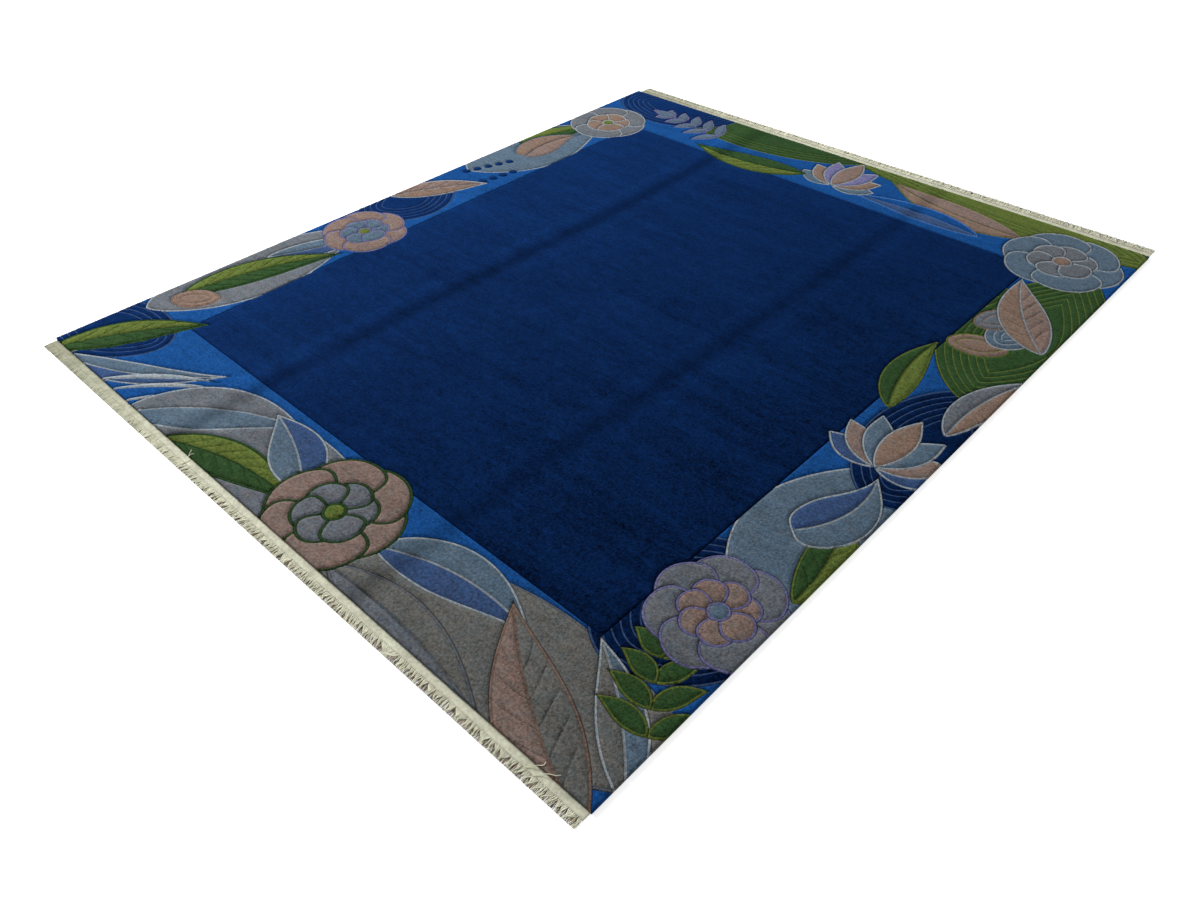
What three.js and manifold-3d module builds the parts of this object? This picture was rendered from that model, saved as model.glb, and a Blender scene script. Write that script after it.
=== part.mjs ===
// A hand-knotted Nepalese wool rug with carved pile, lying flat.
// Millimetres, +Z up. X runs across the rug and Y along it, from the near end to the far end.
// The origin is on the underside, at the middle of the rug over its fringes. All positions below
// are from the pile's own middle, and the finished solids are moved from there to the origin.

import * as THREE from 'three';
import Module from 'manifold-3d';

const wasm = await Module();
wasm.setup();

// The knotted rug
const PILE_WIDTH = 2500;
const PILE_LENGTH = 2950;
const PILE_THICKNESS = 13;
const RIM_SLOPE = 3;
const PILE_BAYS = 8;

// The plain field, inside borders that differ a little in width
const BORDER_SIDE = 286;
const BORDER_NEAR = 334;
const BORDER_FAR = 350;

// The grooves that are clipped along each motif
const GROOVE_WIDTH = 9;
const GROOVE_DEPTH = 4.5;
const RIB_WIDTH = 7;
const RIB_DEPTH = 3;
const RIB_STEPS = [0.07, 0.5, 0.93];
const BLADE_WIDTH = 16;
const CUTTER_SPARE = 2;

// The make-up of flowers
const PETAL_SHARE = 1.12;
const CUP_REACH = 0.52;
const HEART_REACH = 0.17;
const LOTUS_SPREAD = 150;
const LOTUS_FALL = 0.1;

// A fern's blades: where they leave the stem, how far they stand off it, and how long they are
const FERN_FIRST = 0.08;
const FERN_LAST = 0.74;
const FERN_END = 0.7;
const FERN_END_REACH = 0.34;
const FERN_STAND_OFF = 62;
const FERN_CLOSING = 24;
const FERN_REACH = 0.65;
const FERN_SHORTENING = 0.34;
const BLADE_START = 0.15;
const BLADE_END = 0.95;

// The flat-woven cotton web at each end, and the fringe of warp ends beyond it. The first of the
// scatters that an end uses is its own, so that the two ends differ.
const ENDS = {
  web_near: { sign: -1, web: 22, reach: 26, scatter: 5 },
  web_far: { sign: 1, web: 42, reach: 36, scatter: 1 },
};
const NEAR_END = ENDS.web_near.web + ENDS.web_near.reach;
const FAR_END = ENDS.web_far.web + ENDS.web_far.reach;
const PILE_MIDDLE = (NEAR_END - FAR_END) / 2;
const WEB_WIDTH = 2494;
const WEB_THICKNESS = 2.4;
const WEB_BAYS = 24;
const PARTING = 0.3;
const SHORTEST_STRAND = 0.7;
const LENGTH_SCATTER = 0.55;
const STRANDS_PER_END = 120;
const STRAND_ROOT = 13;
const STRAND_MIDDLE = 9;
const STRAND_MIDDLE_AT = 0.55;
const STRAND_MIDDLE_HEIGHT = 2.2;
const STRAND_TIP_HEIGHT = 1.2;
// How far the strands' tips lean aside: together in slow waves, and each by itself
const LEAN_TOGETHER = 3.2;
const LEAN_ALONE = 1.6;
const LEAN_WAVE = 0.31;
const MIDDLE_LEAN = 1 / 3;

const HALF_WIDTH = PILE_WIDTH / 2;
const HALF_LENGTH = PILE_LENGTH / 2;

// Soft troughs that old folds left along the rug: where across it, half as wide, how deep, and
// how far and from which phase they wander. Their depth varies a little along the rug.
const CREASES = [
  { x: -465, half: 50, depth: 1.8, drift: 12, phase: 0.4 },
  { x: 440, half: 55, depth: 2.0, drift: 10, phase: 0.4 },
];
const CREASE_HALF_WAVES = 2.3;
const CREASE_VARIATION = 0.2;

// Leaf-like forms: full says where a form is widest (near its base below 1, near its tip above 1),
// and base and tip say how pointed each of its ends is (round at 0.5)
const FORMS = {
  leaf: { full: 0.8, base: 0.85, tip: 1.05, steps: 5 },
  blade: { full: 0.95, base: 0.9, tip: 1.3, steps: 3 },
  petal: { full: 1.3, base: 0.85, tip: 0.5, steps: 5 },
  point: { full: 0.95, base: 0.7, tip: 0.95, steps: 4 },
  drop: { full: 0.62, base: 0.5, tip: 1.25, steps: 5 },
  stone: { full: 1, base: 0.5, tip: 0.5, steps: 5 },
  berry: { full: 1, base: 0.5, tip: 0.5, steps: 3 },
};

// Each row of the tables below is one motif:
// kind, x, y, turn in degrees, length, width, bow of its midline, count of petals or the like

const GROUNDS = [
  ['stone', -1420, -1400, 18, 520, 330, 0, 1],
  ['leaf', -620, -1560, 17, 1000, 420, 40, 1],
  ['leaf', 190, -1570, 13, 1350, 470, 40, 1],
  ['stone', 1010, -1190, 80, 520, 460, 0, 1],
  ['leaf', 1180, -860, 88, 760, 420, 30, 1],
  ['stone', 1190, -330, 88, 640, 400, 0, 1],
  ['leaf', 1150, 240, 90, 1000, 500, 0, 1],
  ['leaf', 1330, 1390, 176, 1500, 320, -40, 1],
  ['leaf', 60, 1480, 180, 1300, 360, 30, 1],
  ['stone', -1250, 1380, 10, 620, 420, 0, 1],
  ['leaf', -1190, 300, 82, 760, 420, 20, 1],
  ['stone', -1210, -260, 80, 420, 360, 0, 1],
  ['leaf', -1200, -1180, 86, 900, 380, -30, 1],
];

const NEAR_MOTIFS = [
  ['leaf', -1200, -1520, 58, 520, 150, 30, 1],
  ['leaf', -1160, -1510, 30, 640, 110, -50, 1],
  ['blade', -930, -1510, 40, 430, 26, 30, 1],
  ['blade', -850, -1510, 42, 400, 22, 30, 1],
  ['blade', -760, -1510, 46, 360, 22, 26, 1],
  ['leaf', -700, -1520, 34, 600, 210, 60, 1],
  ['leaf', -500, -1500, 12, 560, 150, 40, 1],
  ['leaf', 20, -1340, 158, 380, 170, -20, 1],
  ['leaf', 330, -1330, 8, 520, 170, 50, 1],
  ['leaf', 300, -1450, -4, 640, 150, 30, 1],
  ['blossom', 150, -1325, 12, 215, 0, 0, 6],
  ['leaf', 1270, -1520, 150, 620, 190, 30, 1],
  ['leaf', 1290, -1420, 140, 430, 120, -20, 1],
];

const RIGHT_MOTIFS = [
  ['fern', 1240, -1300, 118, 420, 250, 20, 5],
  ['leaf', 1235, -760, 104, 400, 130, -30, 1],
  ['blossom', 1120, -900, 20, 185, 0, 0, 7],
  ['drop', 1090, -560, 80, 340, 180, -50, 1],
  ['lotus', 1120, -200, 90, 270, 96, 0, 7],
  ['leaf', 1010, 60, 98, 420, 120, 30, 1],
  ['leaf', 1200, 50, 80, 420, 120, 30, 1],
  ['stone', 960, 500, 20, 200, 130, 0, 1],
  ['stone', 1090, 560, 80, 190, 150, 0, 1],
  ['stone', 990, 640, 60, 180, 120, 0, 1],
  ['leaf', 1230, 620, 122, 480, 170, 30, 1],
];

const FAR_MOTIFS = [
  ['leaf', 850, 1300, 170, 640, 170, 40, 1],
  ['blossom', 1030, 1230, 0, 215, 0, 0, 6],
  ['leaf', 720, 1200, 180, 560, 120, -30, 1],
  ['lotus', 60, 1210, 90, 260, 100, 0, 7],
  ['leaf', -80, 1230, 186, 560, 150, 40, 1],
  ['fern', -560, 1290, 176, 460, 230, -20, 5],
];

const LEFT_MOTIFS = [
  ['leaf', -1230, 640, 72, 400, 130, 20, 1],
  ['blossom', -1090, 1080, 0, 180, 0, 0, 5],
  ['drop', -1110, 560, 86, 340, 180, 40, 1],
  ['berries', -1190, 290, 70, 200, 36, 0, 5],
  ['berries', -1060, 270, 80, 150, 36, 0, 4],
  ['leaf', -1250, -80, 58, 420, 140, 20, 1],
  ['leaf', -1190, -700, 70, 420, 120, -20, 1],
  ['blossom', -1080, -330, 30, 170, 0, 0, 6],
  ['leaf', -1180, -1060, 72, 600, 160, 40, 1],
  ['stone', -1190, -1090, 40, 180, 120, 0, 1],
];

const radians = THREE.MathUtils.degToRad;

// A point of a motif's bowed midline at t from 0 to 1, moved aside by an offset
function besideMidline(motif, t, offset) {
  const { x, y, turn, length, bow } = motif;
  const slope = Math.atan2(4 * bow * (1 - 2 * t), length);
  const along = length * t - offset * Math.sin(slope);
  const across = 4 * bow * t * (1 - t) + offset * Math.cos(slope);
  const angle = radians(turn);
  return [
    x + along * Math.cos(angle) - across * Math.sin(angle),
    y + along * Math.sin(angle) + across * Math.cos(angle),
  ];
}

// Steps from 0 to 1 that lie closer at both ends, where an outline turns fastest
function easedSteps(count) {
  return Array.from({ length: count + 1 }, (_, i) => 0.5 - 0.5 * Math.cos((Math.PI * i) / count));
}

function outlineOf(motif) {
  const { full, base, tip, steps } = FORMS[motif.kind];
  const right = [];
  const left = [];
  for (const t of easedSteps(steps)) {
    const roundness = base * (1 - t) + tip * t;
    const swell = Math.max(Math.sin(Math.PI * t ** full), 0);
    const half = (motif.width / 2) * swell ** roundness;
    right.push(besideMidline(motif, t, -half));
    left.push(besideMidline(motif, t, half));
  }
  return [...right, ...left.slice(1, -1).reverse()];
}

function discAt(kind, x, y, size) {
  return { kind, x: x - size / 2, y, turn: 0, length: size, width: size, bow: 0 };
}

// An open flower: a ring of petals, each over the last, around a round cup and its heart
function blossomParts({ x, y, turn, length, count }) {
  const parts = [];
  for (let i = 0; i < count; i++) {
    parts.push({
      kind: 'petal',
      x,
      y,
      turn: turn + (360 * i) / count,
      length,
      width: 2 * PETAL_SHARE * length * Math.sin(Math.PI / count),
      bow: 0,
    });
  }
  parts.push(discAt('stone', x, y, 2 * CUP_REACH * length));
  parts.push(discAt('berry', x, y, 2 * HEART_REACH * length));
  return parts;
}

// A lotus seen from the side: a fan of pointed petals, the middle one in front
function lotusParts({ x, y, turn, length, width, count }) {
  const middle = (count - 1) / 2;
  const parts = [];
  for (let i = 0; i < count; i++) {
    const aside = i - middle;
    parts.push({
      kind: 'point',
      x,
      y,
      turn: turn + (aside * LOTUS_SPREAD) / (count - 1),
      length: length * (1 - LOTUS_FALL * Math.abs(aside)),
      width,
      bow: 0,
      rank: -Math.abs(aside),
    });
  }
  return parts.sort((a, b) => a.rank - b.rank);
}

// A fern: pairs of small blades along a stem, and one at its end, each a single broad cut
function fernCuts(motif) {
  const { turn, length, width, count } = motif;
  const cuts = [];
  for (let i = 0; i < count; i++) {
    const t = FERN_FIRST + ((FERN_LAST - FERN_FIRST) * i) / (count - 1);
    const root = besideMidline(motif, t, 0);
    const reach = width * (FERN_REACH - FERN_SHORTENING * t);
    for (const side of [-1, 1]) {
      cuts.push(straightCut(root, turn + side * (FERN_STAND_OFF - FERN_CLOSING * t), reach));
    }
  }
  cuts.push(straightCut(besideMidline(motif, FERN_END, 0), turn, length * FERN_END_REACH));
  return cuts;
}

function straightCut([x, y], turn, reach) {
  const angle = radians(turn);
  return [BLADE_START, BLADE_END].map((t) => [
    x + t * reach * Math.cos(angle),
    y + t * reach * Math.sin(angle),
  ]);
}

// A row of round berries
function berryParts({ x, y, turn, length, width, count }) {
  const angle = radians(turn);
  return Array.from({ length: count }, (_, i) => {
    const along = (length * i) / (count - 1);
    return discAt('berry', x + along * Math.cos(angle), y + along * Math.sin(angle), width);
  });
}

const COMPOUND = { blossom: blossomParts, lotus: lotusParts, berries: berryParts };

function partsOf(rows) {
  return rows.flatMap(([kind, x, y, turn, length, width, bow, count]) => {
    const motif = { kind, x, y, turn, length, width, bow, count };
    return kind in COMPOUND ? COMPOUND[kind](motif) : [motif];
  });
}

function solidOf(vertices, triangles) {
  return new wasm.Manifold(
    new wasm.Mesh({
      numProp: 3,
      vertProperties: new Float32Array(vertices),
      triVerts: new Uint32Array(triangles),
    }),
  );
}

// The four corners of a grid cell as two triangles
function pushCell(triangles, a, b, c, d) {
  triangles.push(a, b, c, a, c, d);
}

// An upright prism over a simple outline, high enough to clear the pile
function prismOf(outline) {
  const contour = outline.map(([x, y]) => new THREE.Vector2(x, y));
  const count = contour.length;
  const vertices = [];
  for (const z of [0, PILE_THICKNESS + 2 * CUTTER_SPARE]) {
    for (const point of contour) {
      vertices.push(point.x, point.y, z);
    }
  }
  const triangles = [];
  for (const [a, b, c] of THREE.ShapeUtils.triangulateShape(contour, [])) {
    triangles.push(c, b, a, a + count, b + count, c + count);
  }
  for (let i = 0; i < count; i++) {
    const next = (i + 1) % count;
    pushCell(triangles, i, next, next + count, i + count);
  }
  return solidOf(vertices, triangles);
}

// The cutter of a V-shaped groove along a path; a closed one runs round an outline
function grooveAlong(path, width, depth, closed) {
  const count = path.length;
  const rise = PILE_THICKNESS + CUTTER_SPARE;
  const half = (width / 2) * ((depth + CUTTER_SPARE) / depth);
  const vertices = [];
  for (let i = 0; i < count; i++) {
    const before = path[closed ? (i + count - 1) % count : Math.max(i - 1, 0)];
    const after = path[closed ? (i + 1) % count : Math.min(i + 1, count - 1)];
    const run = Math.hypot(after[0] - before[0], after[1] - before[1]);
    const nx = (before[1] - after[1]) / run;
    const ny = (after[0] - before[0]) / run;
    const [x, y] = path[i];
    vertices.push(x + nx * half, y + ny * half, rise);
    vertices.push(x - nx * half, y - ny * half, rise);
    vertices.push(x, y, PILE_THICKNESS - depth);
  }
  const triangles = [];
  const spans = closed ? count : count - 1;
  for (let i = 0; i < spans; i++) {
    const here = 3 * i;
    const next = 3 * ((i + 1) % count);
    for (let side = 0; side < 3; side++) {
      const other = (side + 1) % 3;
      pushCell(triangles, here + side, here + other, next + other, next + side);
    }
  }
  if (!closed) {
    const last = 3 * (count - 1);
    triangles.push(0, 2, 1, last, last + 1, last + 2);
  }
  return solidOf(vertices, triangles);
}

// The height of the pile's top between the old folds; it falls off at the rug's edges
function pileTop(x, y) {
  const inside = Math.min(HALF_WIDTH - Math.abs(x), HALF_LENGTH - Math.abs(y));
  return inside <= 0 ? PILE_THICKNESS - RIM_SLOPE : PILE_THICKNESS;
}

function creaseWave(crease, y) {
  return Math.sin((CREASE_HALF_WAVES * Math.PI * y) / PILE_LENGTH + crease.phase);
}

// The knotted slab before its motifs are clipped out
function slab() {
  const columns = [{ x: -HALF_WIDTH }, { x: -HALF_WIDTH + RIM_SLOPE }];
  for (const crease of CREASES) {
    for (const share of [-1, 0, 1]) {
      columns.push({ x: crease.x + share * crease.half, crease, low: share === 0 });
    }
  }
  columns.push({ x: HALF_WIDTH - RIM_SLOPE }, { x: HALF_WIDTH });
  const rows = [-HALF_LENGTH, -HALF_LENGTH + RIM_SLOPE];
  for (let i = 1; i < PILE_BAYS; i++) {
    rows.push(-HALF_LENGTH + (PILE_LENGTH * i) / PILE_BAYS);
  }
  rows.push(HALF_LENGTH - RIM_SLOPE, HALF_LENGTH);

  const vertices = [];
  for (const level of ['bottom', 'top']) {
    for (const y of rows) {
      for (const { x, crease, low } of columns) {
        const wave = crease ? creaseWave(crease, y) : 0;
        const shifted = x + (crease ? crease.drift * wave : 0);
        const sunk = low ? crease.depth * (1 - CREASE_VARIATION * (1 - wave)) : 0;
        vertices.push(shifted, y, level === 'top' ? pileTop(x, y) - sunk : 0);
      }
    }
  }
  const across = columns.length;
  const layer = across * rows.length;
  const triangles = [];
  for (let j = 0; j < rows.length - 1; j++) {
    for (let i = 0; i < across - 1; i++) {
      const a = j * across + i;
      const b = a + 1;
      const c = b + across;
      const d = a + across;
      pushCell(triangles, a, d, c, b);
      pushCell(triangles, a + layer, b + layer, c + layer, d + layer);
    }
  }
  const rim = [];
  for (let i = 0; i < across - 1; i++) {
    rim.push(i);
  }
  for (let j = 0; j < rows.length - 1; j++) {
    rim.push(j * across + across - 1);
  }
  for (let i = across - 1; i > 0; i--) {
    rim.push((rows.length - 1) * across + i);
  }
  for (let j = rows.length - 1; j > 0; j--) {
    rim.push(j * across);
  }
  for (let i = 0; i < rim.length; i++) {
    const here = rim[i];
    const next = rim[(i + 1) % rim.length];
    pushCell(triangles, here, next, next + layer, here + layer);
  }
  return solidOf(vertices, triangles);
}

// The grooves of all motifs: each new one hides those under it and adds its own
function carving() {
  const right = HALF_WIDTH - BORDER_SIDE;
  const near = -HALF_LENGTH + BORDER_NEAR;
  const far = HALF_LENGTH - BORDER_FAR;
  let grooves = solidOf([], []);
  const edge = (outline) => {
    const ring = grooveAlong(outline, GROOVE_WIDTH, GROOVE_DEPTH, true);
    grooves = grooves.subtract(prismOf(outline)).add(ring);
  };
  for (const ground of partsOf(GROUNDS)) {
    edge(outlineOf(ground));
  }
  edge([[-right, near], [right, near], [right, far], [-right, far]]);
  for (const motif of partsOf([...NEAR_MOTIFS, ...RIGHT_MOTIFS, ...FAR_MOTIFS, ...LEFT_MOTIFS])) {
    if (motif.kind === 'fern') {
      for (const cut of fernCuts(motif)) {
        grooves = grooves.add(grooveAlong(cut, BLADE_WIDTH, GROOVE_DEPTH, false));
      }
      continue;
    }
    edge(outlineOf(motif));
    if (motif.kind === 'leaf' || motif.kind === 'drop') {
      const rib = RIB_STEPS.map((t) => besideMidline(motif, t, 0));
      grooves = grooves.add(grooveAlong(rib, RIB_WIDTH, RIB_DEPTH, false));
    }
  }
  return grooves;
}

function geometryOf(vertices, triangles) {
  const geometry = new THREE.BufferGeometry();
  geometry.setAttribute('position', new THREE.Float32BufferAttribute(vertices, 3));
  geometry.setIndex(triangles);
  geometry.translate(0, PILE_MIDDLE, 0);
  geometry.computeVertexNormals();
  return geometry;
}

function pileGeometry() {
  const mesh = slab().subtract(carving()).getMesh();
  return geometryOf(Array.from(mesh.vertProperties), Array.from(mesh.triVerts));
}

// A repeatable scatter from -1 to 1, one value for each strand and use
function scatter(index, use) {
  const value = Math.sin(index * 12.9898 + use * 78.233) * 43758.5453;
  return 2 * (value - Math.floor(value)) - 1;
}

// One end's web and its strands as one flat-bottomed solid. Its outline runs along the pile,
// then back past each strand in turn; every point has its own height.
function fringedWeb({ sign, web, reach, scatter: use }) {
  const pitch = WEB_WIDTH / STRANDS_PER_END;
  const inner = HALF_LENGTH + PARTING;
  const outer = HALF_LENGTH + web;
  const points = [];
  for (let i = 0; i <= WEB_BAYS; i++) {
    points.push({ x: -WEB_WIDTH / 2 + (WEB_WIDTH * i) / WEB_BAYS, y: inner, z: WEB_THICKNESS });
  }
  for (let i = STRANDS_PER_END - 1; i >= 0; i--) {
    const x = -WEB_WIDTH / 2 + pitch * (i + 0.5);
    // A few strands in each end have the full reach
    const share = Math.min(0.5 + LENGTH_SCATTER * scatter(i, use), 1);
    const length = reach * (SHORTEST_STRAND + (1 - SHORTEST_STRAND) * share);
    const lean = LEAN_TOGETHER * Math.sin(LEAN_WAVE * i + use) + LEAN_ALONE * scatter(i, use + 1);
    const bend = MIDDLE_LEAN * lean + scatter(i, use + 2);
    const middle = outer + STRAND_MIDDLE_AT * length;
    points.push({ x: x + STRAND_ROOT / 2, y: outer, z: WEB_THICKNESS });
    points.push({ x: x + bend + STRAND_MIDDLE / 2, y: middle, z: STRAND_MIDDLE_HEIGHT });
    points.push({ x: x + lean, y: outer + length, z: STRAND_TIP_HEIGHT });
    points.push({ x: x + bend - STRAND_MIDDLE / 2, y: middle, z: STRAND_MIDDLE_HEIGHT });
    points.push({ x: x - STRAND_ROOT / 2, y: outer, z: WEB_THICKNESS });
  }
  const placed = sign > 0 ? points : points.map(({ x, y, z }) => ({ x, y: -y, z })).reverse();
  return flatBottomed(placed);
}

// A solid with a level underside, over an outline whose points each have a height
function flatBottomed(points) {
  const contour = points.map(({ x, y }) => new THREE.Vector2(x, y));
  const count = points.length;
  const vertices = [];
  for (const { x, y } of points) {
    vertices.push(x, y, 0);
  }
  for (const { x, y, z } of points) {
    vertices.push(x, y, z);
  }
  const triangles = [];
  for (const [a, b, c] of THREE.ShapeUtils.triangulateShape(contour, [])) {
    triangles.push(c, b, a, a + count, b + count, c + count);
  }
  for (let i = 0; i < count; i++) {
    const next = (i + 1) % count;
    pushCell(triangles, i, next, next + count, i + count);
  }
  return geometryOf(vertices, triangles);
}

const group = new THREE.Group();

const wool = new THREE.MeshStandardMaterial({ color: 0x10264e, roughness: 0.95, metalness: 0 });
const pile = new THREE.Mesh(pileGeometry(), wool);
pile.name = 'pile';
group.add(pile);

const cotton = { color: 0xcfccb6, roughness: 0.9, metalness: 0 };
for (const [name, end] of Object.entries(ENDS)) {
  const web = new THREE.Mesh(fringedWeb(end), new THREE.MeshStandardMaterial(cotton));
  web.name = name;
  group.add(web);
}

export default group;
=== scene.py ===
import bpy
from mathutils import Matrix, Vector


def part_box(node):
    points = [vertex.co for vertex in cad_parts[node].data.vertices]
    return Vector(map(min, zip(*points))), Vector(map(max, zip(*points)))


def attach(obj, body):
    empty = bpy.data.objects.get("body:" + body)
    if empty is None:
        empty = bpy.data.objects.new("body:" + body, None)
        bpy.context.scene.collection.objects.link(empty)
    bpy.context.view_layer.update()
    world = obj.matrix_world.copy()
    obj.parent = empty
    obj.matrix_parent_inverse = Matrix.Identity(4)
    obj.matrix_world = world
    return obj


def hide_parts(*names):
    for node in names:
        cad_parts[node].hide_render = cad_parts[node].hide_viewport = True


bl_info = {
    "name": "Nepalese rug",
    "version": (1, 0, 0),
    "blender": (4, 5, 0),
    "location": "3D View > Sidebar > Rug",
    "description": "Builds a hand-knotted wool rug with a carved floral border and fringed ends",
    "category": "Object",
}

import math
from collections import namedtuple

import bpy
import numpy as np
from bpy.props import FloatProperty, FloatVectorProperty, IntProperty, PointerProperty
from mathutils import Matrix, Vector
from mathutils.geometry import delaunay_2d_cdt

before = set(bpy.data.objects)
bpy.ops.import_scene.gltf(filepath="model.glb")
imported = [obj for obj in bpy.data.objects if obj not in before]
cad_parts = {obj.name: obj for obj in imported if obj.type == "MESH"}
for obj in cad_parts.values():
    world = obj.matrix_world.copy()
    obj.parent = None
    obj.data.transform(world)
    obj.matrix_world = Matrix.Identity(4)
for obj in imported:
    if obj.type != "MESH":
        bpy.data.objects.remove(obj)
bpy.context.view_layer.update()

PILE_LOW, PILE_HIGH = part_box("pile")
NEAR_LOW, NEAR_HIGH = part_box("web_near")
FAR_LOW, FAR_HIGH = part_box("web_far")

# Everything is in metres. X runs across the rug and Y along it, from the near end to the far end.
# Positions on the rug are from the pile's own middle, and the pieces are moved from there.

HALF_WIDTH = (PILE_HIGH[0] - PILE_LOW[0]) / 2
HALF_LENGTH = (PILE_HIGH[1] - PILE_LOW[1]) / 2
PILE_MIDDLE = (PILE_HIGH[1] + PILE_LOW[1]) / 2

# Yarn colours as dyed, red, green and blue in linear light
YARNS = {
    "navy": (0.0022, 0.0156, 0.069),
    "royal": (0.0085, 0.0625, 0.222),
    "sky": (0.075, 0.17, 0.40),
    "steel": (0.037, 0.070, 0.160),
    "slate": (0.082, 0.123, 0.168),
    "mauve": (0.114, 0.126, 0.143),
    "ash": (0.115, 0.117, 0.111),
    "rose": (0.190, 0.138, 0.119),
    "peach": (0.190, 0.132, 0.103),
    "olive": (0.096, 0.132, 0.030),
    "green": (0.026, 0.060, 0.020),
    "lilac": (0.150, 0.145, 0.290),
    "pale": (0.300, 0.340, 0.370),
}
YARN_NAMES = list(YARNS)
GROUND_YARN = "royal"
FIELD_YARN = "navy"
BROAD_OUTLINE = "green"
# The heathered dye's warmer and cooler fibres, as shares of a yarn's own colour
WARM_DYE = (1.09, 0.99, 0.94)
COOL_DYE = (0.91, 1.00, 1.06)
# How much darker the bottom of a groove is
GROOVE_SHADOW = 0.72
# Painted light: how much lighter the field's yarn is painted per metre, across and along the rug,
# standing in for the lamp's light and the pile's sheen towards the left and the far end
FIELD_PAINTED_LIGHT = (-0.30, 0.09)

# Soft troughs of two old folds: where across the rug, half their width, their depth, how far they
# wander and where that starts. Then the painted shade along them, a darker streak that stands in
# for the fold's shade and changed sheen: where, half its width, how dark, and the painted
# highlight, how much lighter the pile is painted on its left and right.
Crease = namedtuple("Crease", "x half depth drift phase streak reach shade left right")
CREASES = [
    Crease(-0.465, 0.050, 0.0018, 0.012, 0.4, -0.474, 0.056, 0.37, 0.22, 0.08),
    Crease(0.440, 0.055, 0.0020, 0.010, 0.4, 0.434, 0.050, 0.25, 0.15, 0.15),
]
CREASE_WAVES = 2.3 * math.pi / (2 * HALF_LENGTH)
# How far a painted streak's edges wander, and where the painted highlight beside it lies and half
# its width, both as shares of the streak's own half width
STREAK_WOBBLE = 0.035
HIGHLIGHT_AWAY = 1.45
HIGHLIGHT_HALF = 0.85

# Leaf-like forms: where a form is fullest, and how pointed its base and tip are (round at 0.5)
Form = namedtuple("Form", "full base tip")
FORMS = {
    "leaf": Form(0.80, 0.85, 1.05),
    "blade": Form(0.95, 0.90, 1.30),
    "petal": Form(1.30, 0.85, 0.50),
    "point": Form(0.95, 0.70, 0.95),
    "drop": Form(0.62, 0.50, 1.25),
    "stone": Form(1.00, 0.50, 0.50),
}

# The motifs, each over those before it. X and y are where it starts, or the middle of a blossom,
# turn is in degrees, and bow is how far its midline bows out. Count is the petals of a flower, the
# pairs of blades of a fern, the berries of a row, the pairs of veins of a leaf that has a midrib,
# or the contours inside a plain form.
Motif = namedtuple("Motif", "kind x y turn length width bow count yarns edge")
GROUNDS = [Motif(*row) for row in (
    ("stone", -1.420, -1.400, 18, 0.520, 0.330, 0, 3, "navy", "steel"),
    ("leaf", -0.620, -1.560, 17, 1.000, 0.420, 0.040, 0, "mauve", "pale"),
    ("leaf", 0.190, -1.570, 13, 1.350, 0.470, 0.040, 0, "ash", "mauve"),
    ("stone", 1.010, -1.190, 80, 0.520, 0.460, 0, 6, "navy", "steel"),
    ("leaf", 1.180, -0.860, 88, 0.760, 0.420, 0.030, 0, "slate", "pale"),
    ("stone", 1.190, -0.330, 88, 0.640, 0.400, 0, 5, "navy", "steel"),
    ("leaf", 1.150, 0.240, 90, 1.000, 0.500, 0, 6, "green", "olive"),
    ("leaf", 1.330, 1.390, 176, 1.500, 0.320, -0.040, 3, "olive", "green"),
    ("leaf", 0.060, 1.480, 180, 1.300, 0.360, 0.030, 3, "green", "olive"),
    ("stone", -1.250, 1.380, 10, 0.620, 0.420, 0, 5, "navy", "steel"),
    ("leaf", -1.190, 0.300, 82, 0.760, 0.420, 0.020, 0, "slate", "pale"),
    ("stone", -1.210, -0.260, 80, 0.420, 0.360, 0, 4, "navy", "steel"),
    ("leaf", -1.200, -1.180, 86, 0.900, 0.380, -0.030, 0, "mauve", "pale"),
)]
NEAR_MOTIFS = [Motif(*row) for row in (
    ("leaf", -1.200, -1.520, 58, 0.520, 0.150, 0.030, 5, "olive green", "green"),
    ("leaf", -1.160, -1.510, 30, 0.640, 0.110, -0.050, 0, "slate steel", "pale"),
    ("blade", -0.930, -1.510, 40, 0.430, 0.026, 0.030, 0, "pale", ""),
    ("blade", -0.850, -1.510, 42, 0.400, 0.022, 0.030, 0, "pale", ""),
    ("blade", -0.760, -1.510, 46, 0.360, 0.022, 0.026, 0, "pale", ""),
    ("leaf", -0.700, -1.520, 34, 0.600, 0.210, 0.060, 0, "mauve slate", "pale"),
    ("leaf", -0.500, -1.500, 12, 0.560, 0.150, 0.040, 6, "olive green", "green"),
    ("leaf", 0.020, -1.340, 158, 0.380, 0.170, -0.020, 0, "slate steel", "pale"),
    ("leaf", 0.330, -1.330, 8, 0.520, 0.170, 0.050, 0, "slate steel", "pale"),
    ("leaf", 0.300, -1.450, -4, 0.640, 0.150, 0.030, 0, "ash mauve", "mauve"),
    ("blossom", 0.150, -1.325, 12, 0.215, 0, 0, 6, "rose mauve olive", "green"),
    ("leaf", 1.270, -1.520, 150, 0.620, 0.190, 0.030, 5, "rose ash", "peach"),
    ("leaf", 1.290, -1.420, 140, 0.430, 0.120, -0.020, 0, "ash slate", "pale"),
)]
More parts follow.
